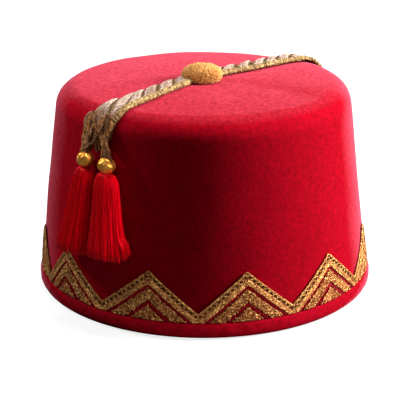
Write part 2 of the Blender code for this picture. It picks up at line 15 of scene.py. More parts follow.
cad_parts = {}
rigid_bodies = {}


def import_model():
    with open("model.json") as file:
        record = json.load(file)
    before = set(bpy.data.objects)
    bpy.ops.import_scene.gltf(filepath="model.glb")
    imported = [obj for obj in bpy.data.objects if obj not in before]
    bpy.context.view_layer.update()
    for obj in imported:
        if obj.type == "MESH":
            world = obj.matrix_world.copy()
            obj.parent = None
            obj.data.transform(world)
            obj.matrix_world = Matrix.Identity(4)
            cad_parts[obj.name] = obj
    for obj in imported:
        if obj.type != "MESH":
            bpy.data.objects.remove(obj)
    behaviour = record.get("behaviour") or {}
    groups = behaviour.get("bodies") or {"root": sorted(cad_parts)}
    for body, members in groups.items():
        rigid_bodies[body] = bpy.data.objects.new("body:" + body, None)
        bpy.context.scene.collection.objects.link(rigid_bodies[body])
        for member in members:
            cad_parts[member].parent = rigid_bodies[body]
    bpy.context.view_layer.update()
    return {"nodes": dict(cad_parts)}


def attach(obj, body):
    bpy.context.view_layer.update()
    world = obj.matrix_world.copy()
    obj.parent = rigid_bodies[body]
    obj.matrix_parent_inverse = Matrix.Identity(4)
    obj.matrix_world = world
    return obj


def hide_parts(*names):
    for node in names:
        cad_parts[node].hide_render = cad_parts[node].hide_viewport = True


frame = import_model()

# %% [markdown]
# Every piece lies on the crown, so its surface comes first. A fez is a cone with a rounded shoulder and a
# slightly domed top. Felt that is pulled over a block by hand isn't quite round, and `blocked` moves the
# perfect shape to the real one. All functions take whole arrays, because later cells place many thousand
# points with them.

# %% The crown's surface
FOOT_RADIUS = 0.0935
LEAN = math.radians(6.92)
RIM_HEIGHT = 0.1117
SHOULDER_RADIUS = 0.0129
DOME_SLOPE = math.radians(4.0)
FELT = 0.0025
GAP = 0.0003
BINDING_HEIGHT = 0.0083
SHOULDER_HEIGHT = RIM_HEIGHT - SHOULDER_RADIUS * math.cos(DOME_SLOPE)
SHOULDER_REACH = FOOT_RADIUS - SHOULDER_HEIGHT * math.tan(LEAN) - SHOULDER_RADIUS / math.cos(LEAN)
RAISED_SIDE = math.radians(8.0)  # azimuth at which the shoulder stands highest
RAISE = 0.00175
RAISE_SPREAD = math.cos(math.radians(44.0))  # it has faded out this far round on both sides
RAISE_FOOT = 0.080  # height at which the raise begins
PUSH = 0.0016  # how far the foot is pressed in on the left
PUSH_TOP = 0.045  # height at which the press has faded out
CENTRING = -0.00079  # brings the pressed foot back to the middle


def eased(share):
    """A share from 0 to 1 that starts and stops gently."""
    share = np.clip(share, 0.0, 1.0)
    return share * share * (3 - 2 * share)


def round_axis(level, turn, height):
    """Points at distances from the hat's axis, azimuths in radians and heights."""
    return np.stack(np.broadcast_arrays(level * np.cos(turn), level * np.sin(turn), height), axis=-1)


def turn_and_level(points):
    """The azimuths of points in radians, and their distances from the hat's axis."""
    return np.arctan2(points[..., 1], points[..., 0]), np.hypot(points[..., 0], points[..., 1])


def blocked(points):
    """Moves points of the perfectly round hat to where the hand-shaped felt has them."""
    points = np.asarray(points, float)
    turn, level = turn_and_level(points)
    height = points[..., 2]
    raised = eased((np.cos(turn - RAISED_SIDE) - RAISE_SPREAD) / (1 - RAISE_SPREAD))
    raised = raised * eased(level / SHOULDER_REACH)
    raised = raised * eased((height - RAISE_FOOT) / (RIM_HEIGHT - RAISE_FOOT))
    pushed = np.maximum(0.0, -np.cos(turn)) ** 2 * (1 - eased(height / PUSH_TOP))
    shaped = round_axis(level - PUSH * pushed, turn, height + RAISE * raised)
    shaped[..., 0] += CENTRING
    return shaped


def wall_radius(height, offset=0.0):
    """Radius of the felt's outside at a height, or of a surface an offset outside it."""
    return FOOT_RADIUS - height * math.tan(LEAN) + offset / math.cos(LEAN)


def on_wall(azimuth, height, lift):
    """Points on the leaning wall from azimuths in degrees."""
    return blocked(round_axis(wall_radius(height, lift), np.radians(azimuth), height))


# %% Over the shoulder and the top


def crown_outline(offset, foot, wall_steps, shoulder_steps, top_steps):
    """(radius, height) from the foot to the middle of the top, an offset outside the felt's outside."""
    angles = np.linspace(LEAN, math.pi / 2 - DOME_SLOPE, shoulder_steps + 1)
    level = SHOULDER_REACH + (SHOULDER_RADIUS + offset) * np.cos(angles)
    height = SHOULDER_HEIGHT + (SHOULDER_RADIUS + offset) * np.sin(angles)
    wall = np.linspace(foot, height[0], wall_steps + 1)[:-1]
    share = np.linspace(1.0, 0.0, top_steps + 1)[1:]
    rise = 0.5 * math.tan(DOME_SLOPE) * level[-1]
    levels = np.concatenate([wall_radius(wall, offset), level, level[-1] * share])
    heights = np.concatenate([wall, height, height[-1] + rise * (1 - share**2)])
    return np.stack([levels, heights], axis=-1)


fine = crown_outline(0.0, 0.0, wall_steps=1, shoulder_steps=60, top_steps=60)[::-1]
RUN = np.concatenate([[0.0], np.cumsum(np.hypot(*np.diff(fine, axis=0).T))])
LEVEL, HEIGHT = fine.T
OUT, UP = -np.gradient(HEIGHT, RUN), np.gradient(LEVEL, RUN)


def on_crown(run, azimuth, lift):
    """Points over the crown: run from the middle of the top, azimuth in radians, lift off the felt."""
    level = np.interp(run, RUN, LEVEL) + lift * np.interp(run, RUN, OUT)
    height = np.interp(run, RUN, HEIGHT) + lift * np.interp(run, RUN, UP)
    return blocked(round_axis(level, azimuth, height))


def run_at_height(height):
    """Distance over the felt from the middle of the top down to a height."""
    return np.interp(-np.asarray(height), -HEIGHT, RUN)


print("from the middle of the top to the foot:", round(1000 * RUN[-1]), "mm over the felt")

# %% [markdown]
# Two small makers serve most pieces. `spun` turns a profile round the hat's axis, the way a potter would.
# `bundle` makes thread: one short tube from a cone with its ends closed, cut into rings, is copied by
# doubling, and every copy is then laid along its own path. A tube for each thread costs more faces than a
# bump map, but it gives real edges, real shadows and frayed ends.

# %% Makers of meshes


def finished(name, mesh, material, slot, *nodes):
    """An object from a mesh, riding on the hat and standing for the named solids."""
    mesh.materials.append(material)
    made = bpy.data.objects.new(name, mesh)
    bpy.context.scene.collection.objects.link(made)
    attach(made, "root")
    if nodes:
        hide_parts(*nodes)
    return made


def moved(mesh, place):
    """Passes all points of a mesh through a function."""
    points = np.empty(len(mesh.vertices) * 3, np.float32)
    mesh.vertices.foreach_get("co", points)
    mesh.vertices.foreach_set("co", np.asarray(place(points.reshape(-1, 3)), np.float32).ravel())
    mesh.update()


def mesh_from(bm, name):
    """A new mesh from a bmesh, which is let go."""
    mesh = bpy.data.meshes.new(name)
    bm.to_mesh(mesh)
    bm.free()
    return mesh


def flat_grid(name, across, along, size=1.0):
    """A flat square of so many faces each way, with a size from its middle to its sides."""
    bm = bmesh.new()
    bmesh.ops.create_grid(bm, x_segments=across, y_segments=along, size=size)
    return mesh_from(bm, name)


def facing_out(mesh, merge=None):
    """Turns a mesh's faces outwards. Where `merge` is given, points closer than that become one first."""
    bm = bmesh.new()
    bm.from_mesh(mesh)
    if merge:
        bmesh.ops.remove_doubles(bm, verts=bm.verts, dist=merge)
        bmesh.ops.dissolve_degenerate(bm, dist=merge, edges=bm.edges)
    bmesh.ops.recalc_face_normals(bm, faces=bm.faces)
    bm.to_mesh(mesh)
    bm.free()


def cut_across(bm, heights):
    """Cuts a bmesh level at each height."""
    for height in heights:
        geometry = bm.verts[:] + bm.edges[:] + bm.faces[:]
        bmesh.ops.bisect_plane(bm, geom=geometry, plane_co=(0, 0, height), plane_no=(0, 0, 1), dist=1e-4)


def spun(name, profile, segments, closed=False):
    """A profile of (radius, height) turned round Z, with its faces looking out."""
    bm = bmesh.new()
    verts = [bm.verts.new((level, 0.0, height)) for level, height in profile]
    edges = [bm.edges.new(pair) for pair in zip(verts, verts[1:] + verts[:1] if closed else verts[1:])]
    bmesh.ops.spin(
        bm,
        geom=verts + edges,
        axis=(0, 0, 1),
        cent=(0, 0, 0),
        angle=2 * math.pi,
        steps=segments,
        use_merge=True,
    )
    bmesh.ops.remove_doubles(bm, verts=bm.verts, dist=1e-6)
    bmesh.ops.recalc_face_normals(bm, faces=bm.faces)
    mesh = mesh_from(bm, name)
    mesh.shade_smooth()
    return mesh


# %% Makers of thread
APART = 10.0  # between two copies of the tube while the copies are counted


def unit(vectors):
    """Vectors made one long."""
    return vectors / np.maximum(np.linalg.norm(vectors, axis=-1, keepdims=True), 1e-12)


def from_axis(points):
    """Level directions away from the hat's axis."""
    return points * np.array([1, 1, 0])


def from_inside(points):
    """Directions away from a point inside the crown."""
    return unit(points - np.array([0, 0, 0.05]))


def straight_tubes(name, strands, rings, sides):
    """Copies of one closed tube, each standing in Z with its rings one apart, in a row along X."""
    bm = bmesh.new()
    bmesh.ops.create_cone(bm, cap_ends=True, segments=sides, radius1=1, radius2=1, depth=rings - 1)
    bmesh.ops.translate(bm, verts=bm.verts, vec=(0, 0, 0.5 * (rings - 1)))
    cut_across(bm, range(1, rings - 1))
    count = 1
    while count < strands:
        copy = bmesh.ops.duplicate(bm, geom=bm.verts[:] + bm.edges[:] + bm.faces[:])["geom"]
        verts = [item for item in copy if isinstance(item, bmesh.types.BMVert)]
        bmesh.ops.translate(bm, verts=verts, vec=(APART * count, 0, 0))
        count *= 2
    spare = [vert for vert in bm.verts if vert.co.x > APART * (strands - 0.5)]
    bmesh.ops.delete(bm, geom=spare, context="VERTS")
    return mesh_from(bm, name)


def map_thread(mesh, turn, length):
    """Gives each corner its place on the thread: millimetres along it, and turns round it."""
    corners = np.empty(len(mesh.loops), np.int32)
    mesh.loops.foreach_get("vertex_index", corners)
    starts = np.empty(len(mesh.polygons), np.int32)
    mesh.polygons.foreach_get("loop_start", starts)
    face = np.searchsorted(starts, np.arange(len(corners)), side="right") - 1
    highest = np.zeros(len(starts))
    np.maximum.at(highest, face, turn[corners])
    wrapped = turn[corners] + (highest[face] - turn[corners] > 0.5)
    thread_map = np.stack([1000 * length[corners], wrapped], axis=-1)
    mesh.uv_layers.new(name="thread").data.foreach_set("uv", thread_map.astype(np.float32).ravel())


def bundle(name, paths, radii, away, sides, flat):
    """Tubes along paths[strand, ring, xyz]. `away` looks out of the hat and keeps the tubes from rolling."""
    paths = np.asarray(paths, float)
    strands, rings = paths.shape[:2]
    mesh = straight_tubes(name, strands, rings, sides)
    raw = np.empty(len(mesh.vertices) * 3, np.float32)
    mesh.vertices.foreach_get("co", raw)
    raw = raw.reshape(-1, 3).astype(float)
    strand = np.rint(raw[:, 0] / APART).astype(int)
    ring = np.rint(raw[:, 2]).astype(int)
    turn = np.arctan2(raw[:, 1], raw[:, 0] - APART * strand) / (2 * math.pi)
    turn = np.rint((turn % 1.0) * 4 * sides) / (4 * sides)

    along = unit(np.gradient(paths, axis=1))
    across = unit(np.cross(along, np.broadcast_to(away, paths.shape)))
    over = np.cross(across, along)
    radius = np.broadcast_to(radii, (strands, rings))[strand, ring][:, None]
    cosine, sine = np.cos(2 * math.pi * turn)[:, None], np.sin(2 * math.pi * turn)[:, None]
    outwards = cosine * across[strand, ring] + flat * sine * over[strand, ring]
    placed = paths[strand, ring] + radius * outwards
    if np.isnan(placed).any():
        raise ValueError(name + " has a point that is nowhere")
    mesh.vertices.foreach_set("co", placed.astype(np.float32).ravel())

    shade = np.random.default_rng(len(name) + strands).random(strands)
    shades = mesh.attributes.new("shade", "FLOAT", "POINT")
    shades.data.foreach_set("value", shade[strand].astype(np.float32))
    steps = np.linalg.norm(np.diff(paths, axis=1), axis=2)
    lengths = np.concatenate([np.zeros((strands, 1)), np.cumsum(steps, axis=1)], axis=1)
    map_thread(mesh, turn, lengths[strand, ring])
    mesh.shade_smooth()
    mesh.update()
    return mesh


def threads(name, paths, radii, away, material, slot, *nodes, sides, flat=1.0):
    """A bundle of threads as one finished piece."""
    return finished(name, bundle(name, paths, radii, away, sides, flat), material, slot, *nodes)


# %% [markdown]
# ## Finishes
# Shared effects are node groups that are built once. `Nap` is the short pile of felt and velvet: soft
# patches where the pile leans another way, and fine flecks. `Twist` is spun thread: slanted ribs that run
# round a strand, read from the strand's own map of length and turn. `Specks` are painted light: bright
# specks are painted glints and dark ones painted shade, as where single turns of foil catch light or don't.
# Another group says how far down the strap a point is, for the strap's brown and painted shade over the
# shoulder, and `Tone` how dark a strand of silk.

# %% Helpers for node trees


def feed(tree, socket, value):
    """Links another socket into this one, or sets its plain value."""
    if isinstance(value, bpy.types.NodeSocket):
        tree.links.new(value, socket)
    else:
        socket.default_value = value


def node(tree, kind, settings=None, **inputs):
    """Adds a shader node. Inputs are values or sockets, and their names have _ for a space."""
    made = tree.nodes.new("ShaderNode" + kind)
    for key, value in (settings or {}).items():
        setattr(made, key, value)
    for key, value in inputs.items():
        place = int(key[1:]) if key[0] == "i" and key[1:].isdigit() else key.replace("_", " ")
        feed(tree, made.inputs[place], value)
    return made


def new_group(name, takes, gives):
    """A node group with named sockets, and its two end nodes."""
    tree = bpy.data.node_groups.new(name, "ShaderNodeTree")
    for label, kind, value in takes:
        socket = tree.interface.new_socket(label, in_out="INPUT", socket_type="NodeSocket" + kind)
        socket.default_value = value
    for label, kind in gives:
        tree.interface.new_socket(label, in_out="OUTPUT", socket_type="NodeSocket" + kind)
    return tree, tree.nodes.new("NodeGroupInput"), tree.nodes.new("NodeGroupOutput")


def use_group(tree, group, **inputs):
    """Places a node group in a material."""
    return node(tree, "Group", {"node_tree": group}, **inputs)


def mixed(tree, share, one, other):
    """A colour between two, by a share. A plain colour is (red, green, blue)."""
    made = node(tree, "Mix", {"data_type": "RGBA"}, i0=share)
    for place, value in ((6, one), (7, other)):
        feed(tree, made.inputs[place], (*value, 1) if isinstance(value, tuple) else value)
    return made.outputs[2]


def maths(tree, operation, one, other=0.0):
    """One step of arithmetic."""
    return node(tree, "Math", {"operation": operation}, i0=one, i1=other).outputs[0]


def ramp(tree, value, low, high):
    """0 below low, 1 above high, and a straight line between them."""
    return node(tree, "MapRange", {"clamp": True}, Value=value, From_Min=low, From_Max=high).outputs[0]


def new_material(name, **values):
    """A material with a Principled shader, whose plain values are set by socket name."""
    made = bpy.data.materials.new(name)
    made.use_nodes = True
    shader = made.node_tree.nodes["Principled BSDF"]
    for key, value in values.items():
        shader.inputs[key.replace("_", " ")].default_value = value
    return made, made.node_tree, shader


def bumped(tree, shader, height, strength, distance):
    """Bumps a shader's surface by a height."""
    bump = node(tree, "Bump", Strength=strength, Distance=distance, Height=height)
    tree.links.new(bump.outputs[0], shader.inputs["Normal"])


# %% The shared effects
NAP, takes, gives = new_group(
    "Nap",
    [("Vector", "Vector", (0, 0, 0)), ("Patch Scale", "Float", 60.0), ("Fibre Scale", "Float", 900.0)],
    [("Patches", "Float"), ("Flecks", "Float"), ("Height", "Float")],
)
place, patch_scale, fibre_scale = takes.outputs[:3]
patch = node(NAP, "TexNoise", Vector=place, Scale=patch_scale, Detail=5.0, Roughness=0.6, Distortion=0.6)
fibre = node(NAP, "TexNoise", Vector=place, Scale=fibre_scale, Detail=3.0, Roughness=0.7)
NAP.links.new(ramp(NAP, patch.outputs[0], 0.36, 0.64), gives.inputs["Patches"])
NAP.links.new(ramp(NAP, fibre.outputs[0], 0.58, 0.74), gives.inputs["Flecks"])
height = maths(NAP, "ADD", maths(NAP, "MULTIPLY", patch.outputs[0], 0.35), fibre.outputs[0])
NAP.links.new(height, gives.inputs["Height"])

TWIST, takes, gives = new_group(
    "Twist",
    [("Vector", "Vector", (0, 0, 0)), ("Pitch", "Float", 1.2), ("Ribs", "Float", 2.0)],
    [("Groove", "Float"), ("Height", "Float")],
)
split = node(TWIST, "SeparateXYZ", Vector=takes.outputs[0])
phase = maths(TWIST, "DIVIDE", split.outputs[0], takes.outputs[1])
phase = maths(TWIST, "MULTIPLY", maths(TWIST, "ADD", phase, split.outputs[1]), takes.outputs[2])
wave = maths(TWIST, "SINE", maths(TWIST, "MULTIPLY", phase, 2 * math.pi))
TWIST.links.new(ramp(TWIST, wave, -0.2, -1.0), gives.inputs["Groove"])
TWIST.links.new(maths(TWIST, "MULTIPLY", wave, 0.5), gives.inputs["Height"])

SPECKS, takes, gives = new_group(
    "Specks",
    [("Vector", "Vector", (0, 0, 0)), ("Scale", "Float", 800.0)],
    [("Dark", "Float"), ("Bright", "Float")],
)
speck = node(SPECKS, "TexNoise", Vector=takes.outputs[0], Scale=takes.outputs[1], Detail=2.0, Roughness=0.6)
SPECKS.links.new(ramp(SPECKS, speck.outputs[0], 0.58, 0.42), gives.inputs["Dark"])
SPECKS.links.new(ramp(SPECKS, speck.outputs[0], 0.56, 0.66), gives.inputs["Bright"])

GOLD_ENDS, BROWN_STARTS = 0.1135, 0.1065  # heights between which the strap's gold turns brown and into painted shade
BROWN_AND_SHADE, takes, gives = new_group("Worn", [("Vector", "Vector", (0, 0, 0))], [("Share", "Float")])
height = node(BROWN_AND_SHADE, "SeparateXYZ", Vector=takes.outputs[0]).outputs[2]
BROWN_AND_SHADE.links.new(ramp(BROWN_AND_SHADE, height, GOLD_ENDS, BROWN_STARTS), gives.inputs["Share"])

TONE, takes, gives = new_group(
    "Tone", [("Vector", "Vector", (0, 0, 0)), ("Shade", "Float", 0.5)], [("Share", "Float")]
)
length = node(TONE, "SeparateXYZ", Vector=takes.outputs[0]).outputs[0]
length, own = maths(TONE, "MULTIPLY", length, 0.12), maths(TONE, "MULTIPLY", takes.outputs[1], 90.0)
slow = node(TONE, "TexNoise", Vector=node(TONE, "CombineXYZ", X=length, Y=own).outputs[0], Scale=1.0)
share = maths(TONE, "MULTIPLY", maths(TONE, "ADD", takes.outputs[1], slow.outputs[0]), 0.62)
TONE.links.new(ramp(TONE, share, 0.12, 0.85), gives.inputs["Share"])
print("node groups:", [group.name for group in bpy.data.node_groups])

# %% [markdown]
# Felt is matt and glows at grazing angles, because light catches the tips of its fibres. A little of that is
# the shader's sheen. Most is painted sheen, a paler colour that comes in as the surface turns away from the
# eye. The top is painted paler too, down to the middle of the shoulder, as painted sheen where the light
# from above falls.

# %% Felt and velvet
TOP_SHEEN_HEIGHTS = (0.1083, 0.1108)  # heights between which the painted sheen of the top comes in
TOP_SHEEN_DARK, TOP_SHEEN_LIGHT = (0.29, 0.007, 0.016), (0.46, 0.014, 0.029)
GRAZING_SHEEN_DARK, GRAZING_SHEEN_LIGHT = (0.48, 0.05, 0.08), (0.66, 0.085, 0.13)
FLECK_DEPTH = 0.40  # how dark a fleck is beside the felt's dark tone


def felt_material(name, dark, light, patch_scale, fibre_scale, stretch):
    """Red wool in two tones, with dark flecks, and painted sheen on the top and at grazing angles."""
    made, tree, shader = new_material(
        name,
        Roughness=0.95,
        Sheen_Weight=0.06,
        Sheen_Roughness=0.2,
        Sheen_Tint=(1.0, 0.30, 0.42, 1),
        Specular_IOR_Level=0.06,
        Specular_Tint=(1.0, 0.15, 0.30, 1),
    )
    place = node(tree, "TexCoord").outputs["Object"]
    stretched = node(tree, "Mapping", Vector=place, Scale=stretch).outputs[0]
    nap = use_group(tree, NAP, Vector=stretched, Patch_Scale=patch_scale, Fibre_Scale=fibre_scale)
    patches = nap.outputs["Patches"]
    flecks = maths(tree, "MULTIPLY", nap.outputs["Flecks"], 0.55)
    colour = mixed(tree, patches, dark, light)
    colour = mixed(tree, flecks, colour, tuple(FLECK_DEPTH * part for part in dark))
    # Painted sheen on the top: a paler, pinker colour from the middle of the shoulder up.
    top_sheen = ramp(tree, node(tree, "SeparateXYZ", Vector=place).outputs[2], *TOP_SHEEN_HEIGHTS)
    top_sheen = maths(tree, "MULTIPLY", top_sheen, maths(tree, "SUBTRACT", 1.0, flecks))
    colour = mixed(tree, top_sheen, colour, mixed(tree, patches, TOP_SHEEN_DARK, TOP_SHEEN_LIGHT))
    # Painted sheen at grazing angles: a paler colour where the surface turns away from the eye.
    grazing = ramp(tree, node(tree, "LayerWeight", Blend=0.5).outputs["Facing"], 0.60, 0.90)
    colour = mixed(tree, grazing, colour, mixed(tree, patches, GRAZING_SHEEN_DARK, GRAZING_SHEEN_LIGHT))
    tree.links.new(colour, shader.inputs["Base Color"])
    bumped(tree, shader, nap.outputs["Height"], 0.5, 0.0003)
    return made


RED_FELT = felt_material(
    "red_felt",
    dark=(0.31, 0.001, 0.007),
    light=(0.46, 0.001, 0.012),
    patch_scale=470,
    fibre_scale=1200,
    stretch=(1, 0.75, 1.1),
)
RED_BINDING = felt_material(
    "red_binding",
    dark=(0.22, 0.001, 0.006),
    light=(0.36, 0.001, 0.010),
    patch_scale=420,
    fibre_scale=1100,
    stretch=(1, 1, 1),
)
print("felt and velvet:", RED_FELT.name, RED_BINDING.name)

# %% [markdown]
# Metal thread is a foil wound round a core: partly metallic, with grooves between the ribs that are darkened
# as painted shade. Each strand carries a number, `shade`, which moves it between a dull and a bright tone, so
# that no two stitches match.

# %% Thread
# Brown and painted shade, down over the shoulder where the strap turns away from the light.
SHADED_BROWN_DULL, SHADED_BROWN_BRIGHT = (0.08, 0.022, 0.006), (0.46, 0.17, 0.05)
RIBS = 2.0  # side by side round one thread
THREAD_KINDS = (
    # name, dull, bright, pitch in mm, metallic, roughness, groove, painted shade in specks,
    # scale of the specks, painted glint, brown and painted shade down the strap
    ("gold_gimp", (0.36, 0.09, 0.02), (0.95, 0.44, 0.13), 0.9, 0.45, 0.36, 0.25, 0.55, 1000, 0.9, 0.0),
    ("gold_chevron", (0.44, 0.10, 0.022), (1.0, 0.46, 0.145), 0.9, 0.45, 0.36, 0.25, 0.75, 850, 0.9, 0.0),
    ("gold_triangle", (0.38, 0.07, 0.018), (1.0, 0.41, 0.13), 0.9, 0.45, 0.38, 0.25, 0.8, 820, 0.9, 0.0),
    ("strap_gold", (0.26, 0.12, 0.04), (0.84, 0.55, 0.22), 1.1, 0.1, 0.45, 0.4, 0.6, 900, 0.8, 0.8),
    ("strap_silk", (0.40, 0.22, 0.14), (0.88, 0.64, 0.53), 2.4, 0.0, 0.5, 0.3, 0.4, 800, 0.5, 0.85),
    ("brown_thread", (0.13, 0.04, 0.01), (0.72, 0.28, 0.075), 0.9, 0.1, 0.5, 0.4, 0.6, 800, 0.6, 0.0),
    ("dark_line", (0.10, 0.04, 0.025), (0.18, 0.08, 0.05), 0.9, 0.0, 0.6, 0.4, 0.5, 800, 0.0, 0.0),
    ("brown_cord", (0.26, 0.11, 0.05), (0.42, 0.20, 0.09), 1.1, 0.05, 0.6, 0.4, 0.3, 800, 0.0, 0.0),
)


def thread_material(name, dull, bright, pitch, metallic, roughness, groove, speck_shade, scale, glint, brown_and_shade):
    """Spun thread with painted shade and painted glints in specks, and brown painted shade down the strap."""
    made, tree, shader = new_material(
        name, Metallic=metallic, Roughness=roughness, Specular_IOR_Level=0.2
    )
    thread = node(tree, "UVMap", {"uv_map": "thread"}).outputs[0]
    twist = use_group(tree, TWIST, Vector=thread, Pitch=pitch, Ribs=RIBS)
    shade = node(tree, "Attribute", {"attribute_name": "shade"}).outputs["Fac"]
    place = node(tree, "TexCoord").outputs["Object"]
    specks = use_group(tree, SPECKS, Vector=place, Scale=scale)
    dark = tuple(0.30 * part for part in dull)
    # Painted shade: dark specks darken the colour where a turn of foil would catch no light.
    share = maths(tree, "MULTIPLY", specks.outputs["Dark"], speck_shade)
    # Painted shade in the grooves between the ribs.
    share = maths(tree, "MAXIMUM", share, maths(tree, "MULTIPLY", twist.outputs["Groove"], groove))
    colour = mixed(tree, share, mixed(tree, shade, dull, bright), dark)
    light = tuple(min(1.0, 1.6 * part) for part in bright)
    # Painted glints: bright specks of a paler colour where a turn of foil would catch light.
    colour = mixed(tree, maths(tree, "MULTIPLY", specks.outputs["Bright"], glint), colour, light)
    # Painted shade: the strap's threads turn brown and darker down over the shoulder.
    low = use_group(tree, BROWN_AND_SHADE, Vector=place).outputs["Share"]
    brown = mixed(tree, shade, SHADED_BROWN_DULL, SHADED_BROWN_BRIGHT)
    colour = mixed(tree, maths(tree, "MULTIPLY", low, brown_and_shade), colour, brown)
    tree.links.new(colour, shader.inputs["Base Color"])
    bumped(tree, shader, twist.outputs["Height"], 0.5, 0.00015)
    return made


THREAD = {kind[0]: thread_material(*kind) for kind in THREAD_KINDS}
print("kinds of thread:", list(THREAD))

# %% Silk, and what lies under the thread


def silk_material(name, dull, bright, roughness, sheen):
    """Smooth strands that differ a little from each other and along their length."""
    made, tree, shader = new_material(
        name,
        Roughness=roughness,
        Sheen_Weight=sheen,
        Sheen_Roughness=0.4,
        Sheen_Tint=(*(0.5 + 0.5 * part for part in bright), 1),
        Specular_Tint=(*bright, 1),
    )
    thread = node(tree, "UVMap", {"uv_map": "thread"}).outputs[0]
    shade = node(tree, "Attribute", {"attribute_name": "shade"}).outputs["Fac"]
    tone = use_group(tree, TONE, Vector=thread, Shade=shade).outputs["Share"]
    tree.links.new(mixed(tree, tone, dull, bright), shader.inputs["Base Color"])
    return made


def backing_material(name, dark, light, scale, metallic):
    """Densely laid thread that shows between the stitches."""
    made, tree, shader = new_material(name, Roughness=0.7, Metallic=metallic, Specular_IOR_Level=0.1)
    place = node(tree, "TexCoord").outputs["Object"]
    nap = use_group(tree, NAP, Vector=place, Patch_Scale=0.4 * scale, Fibre_Scale=scale)
    tree.links.new(mixed(tree, nap.outputs["Patches"], dark, light), shader.inputs["Base Color"])
    bumped(tree, shader, nap.outputs["Height"], 0.7, 0.0004)
    return made


RED_THREAD = silk_material("red_thread", (0.50, 0.0, 0.004), (1.0, 0.0, 0.010), 0.42, 0.10)
PILE = silk_material("gold_pile", (0.36, 0.11, 0.014), (0.88, 0.50, 0.15), 0.6, 0.5)
# Painted shade: the braid's tape is dark so that the holes in its loops look shaded.
SHADED_BRAID_TAPE = backing_material("braid_backing", (0.07, 0.018, 0.004), (0.15, 0.05, 0.012), 1200, 0.0)
STRAP_BACK = backing_material("strap_backing", (0.10, 0.055, 0.02), (0.24, 0.15, 0.06), 1200, 0.2)
TASSEL_CORE = backing_material("tassel_core", (0.30, 0.0, 0.004), (0.45, 0.001, 0.006), 900, 0.0)
BUTTON_CORE = backing_material("button_core", (0.45, 0.18, 0.03), (0.70, 0.34, 0.08), 1200, 0.0)
print("materials so far:", len(bpy.data.materials))

# %% [markdown]
# The beads are metal, cast and then polished by wear, so their skin is never even. Soft dents come from a
# coarse noise that bends the reflections.

# %% Polished gold
GOLD, tree, shader = new_material("polished_gold", Metallic=0.85, Roughness=0.2)
place = node(tree, "TexCoord").outputs["Object"]
dents = node(tree, "TexNoise", Vector=place, Scale=360.0, Detail=2.0).outputs[0]
stains = ramp(tree, node(tree, "TexNoise", Vector=place, Scale=700.0, Detail=4.0).outputs[0], 0.45, 0.7)
colour = mixed(tree, stains, (1.0, 0.44, 0.07), (0.62, 0.18, 0.015))
tree.links.new(colour, shader.inputs["Base Color"])
tree.links.new(ramp(tree, dents, -0.6, 2.4), shader.inputs["Roughness"])
bumped(tree, shader, dents, 0.9, 0.0016)
print("metal:", GOLD.name)

# %% [markdown]
# ## Felt crown
# The crown is one shell of felt. Its outline runs up the outside, over the shoulder to the middle of the top
# and back down the inside, and is spun in fine steps. A slow noise then moves it by a few tenths of a
# millimetre, since pressed felt is never optically smooth.

# %% The crown
FELT_FOOT = 0.0025  # height of the felt's raw edge
HEART = np.array([0.0, 0.0, 0.06])  # a point inside the crown, from which it swells and shrinks


def uneven(points, scale, amount, seed):
    """Moves points along the line from the hat's heart by a slow noise."""
    values = [noise.noise(Vector(point) * scale + Vector((seed, 0, 0))) for point in points]
    return points + unit(points - HEART) * (amount * np.array(values))[:, None]


outside = crown_outline(0.0, FELT_FOOT, wall_steps=26, shoulder_steps=14, top_steps=22)[::-1]
inside = crown_outline(-FELT, FELT_FOOT, wall_steps=16, shoulder_steps=8, top_steps=10)
crown_mesh = spun("felt_crown", [tuple(point) for point in np.concatenate([outside, inside])], 288)
moved(crown_mesh, lambda points: blocked(uneven(points, scale=45.0, amount=0.00035, seed=3.1)))
finished("felt_crown", crown_mesh, RED_FELT, "red_felt", "crown")
print("crown:", len(crown_mesh.polygons), "faces")

# %% [markdown]
# ## Bound foot
# A strip of velvet is folded round the raw edge of the felt and padded, so it stands proud as a soft roll.
# Its section is drawn once and spun. Small puckers follow the seam, where the cloth is eased round the curve.

# %% The binding
BINDING_SECTION = (
    # outside the felt, height, in millimetres
    (0.55, 8.35), (1.05, 8.25), (1.45, 7.7), (1.65, 6.8), (1.80, 5.6), (1.80, 4.4), (1.65, 3.2), (1.25, 2.0),
    (0.55, 1.0), (-0.30, 0.35), (-1.10, 0.0), (-3.30, 0.0), (-3.75, 0.3), (-3.90, 1.2), (-3.90, 5.6),
    (-3.60, 6.5), (-2.80, 6.5), (-2.80, 2.2), (0.30, 2.2), (0.30, 8.2),
)
PUCKER = 0.00030  # how far a pucker stands out
PUCKERS_ROUND, PUCKERS_UP = 55, 260  # how close they are, round the foot and up the cloth


def puckered(points):
    """Moves the outside of the binding by a fine noise, and leaves its foot and its inside alone."""
    height = points[:, 2]
    turn, level = turn_and_level(points)
    outer = (level > wall_radius(height, 0.0005)) * eased(height / 0.003)
    places = [
        (PUCKERS_ROUND * math.cos(t), PUCKERS_ROUND * math.sin(t), PUCKERS_UP * z) for t, z in zip(turn, height)
    ]
    level = level + PUCKER * np.array([noise.noise(Vector(place)) for place in places]) * outer
    return blocked(round_axis(level, turn, height))


section = [(wall_radius(height / 1000, out / 1000), height / 1000) for out, height in BINDING_SECTION]
binding_mesh = spun("foot_binding", section, 360, closed=True)
moved(binding_mesh, puckered)
finished("foot_binding", binding_mesh, RED_BINDING, "red_binding", "hem_binding")
print("binding:", len(binding_mesh.polygons), "faces")

# %% [markdown]
# ## Embroidery
# The outer zigzag is a bought braid. Seen from its upper edge it has a thin twisted cord, a row of open
# loops, and a flat band of laid thread. A thin tape carries it, and shows through the loops: its dark colour
# is painted shade in their holes. Every stitch is a short tube that starts and ends in the cloth and bulges
# a little between.

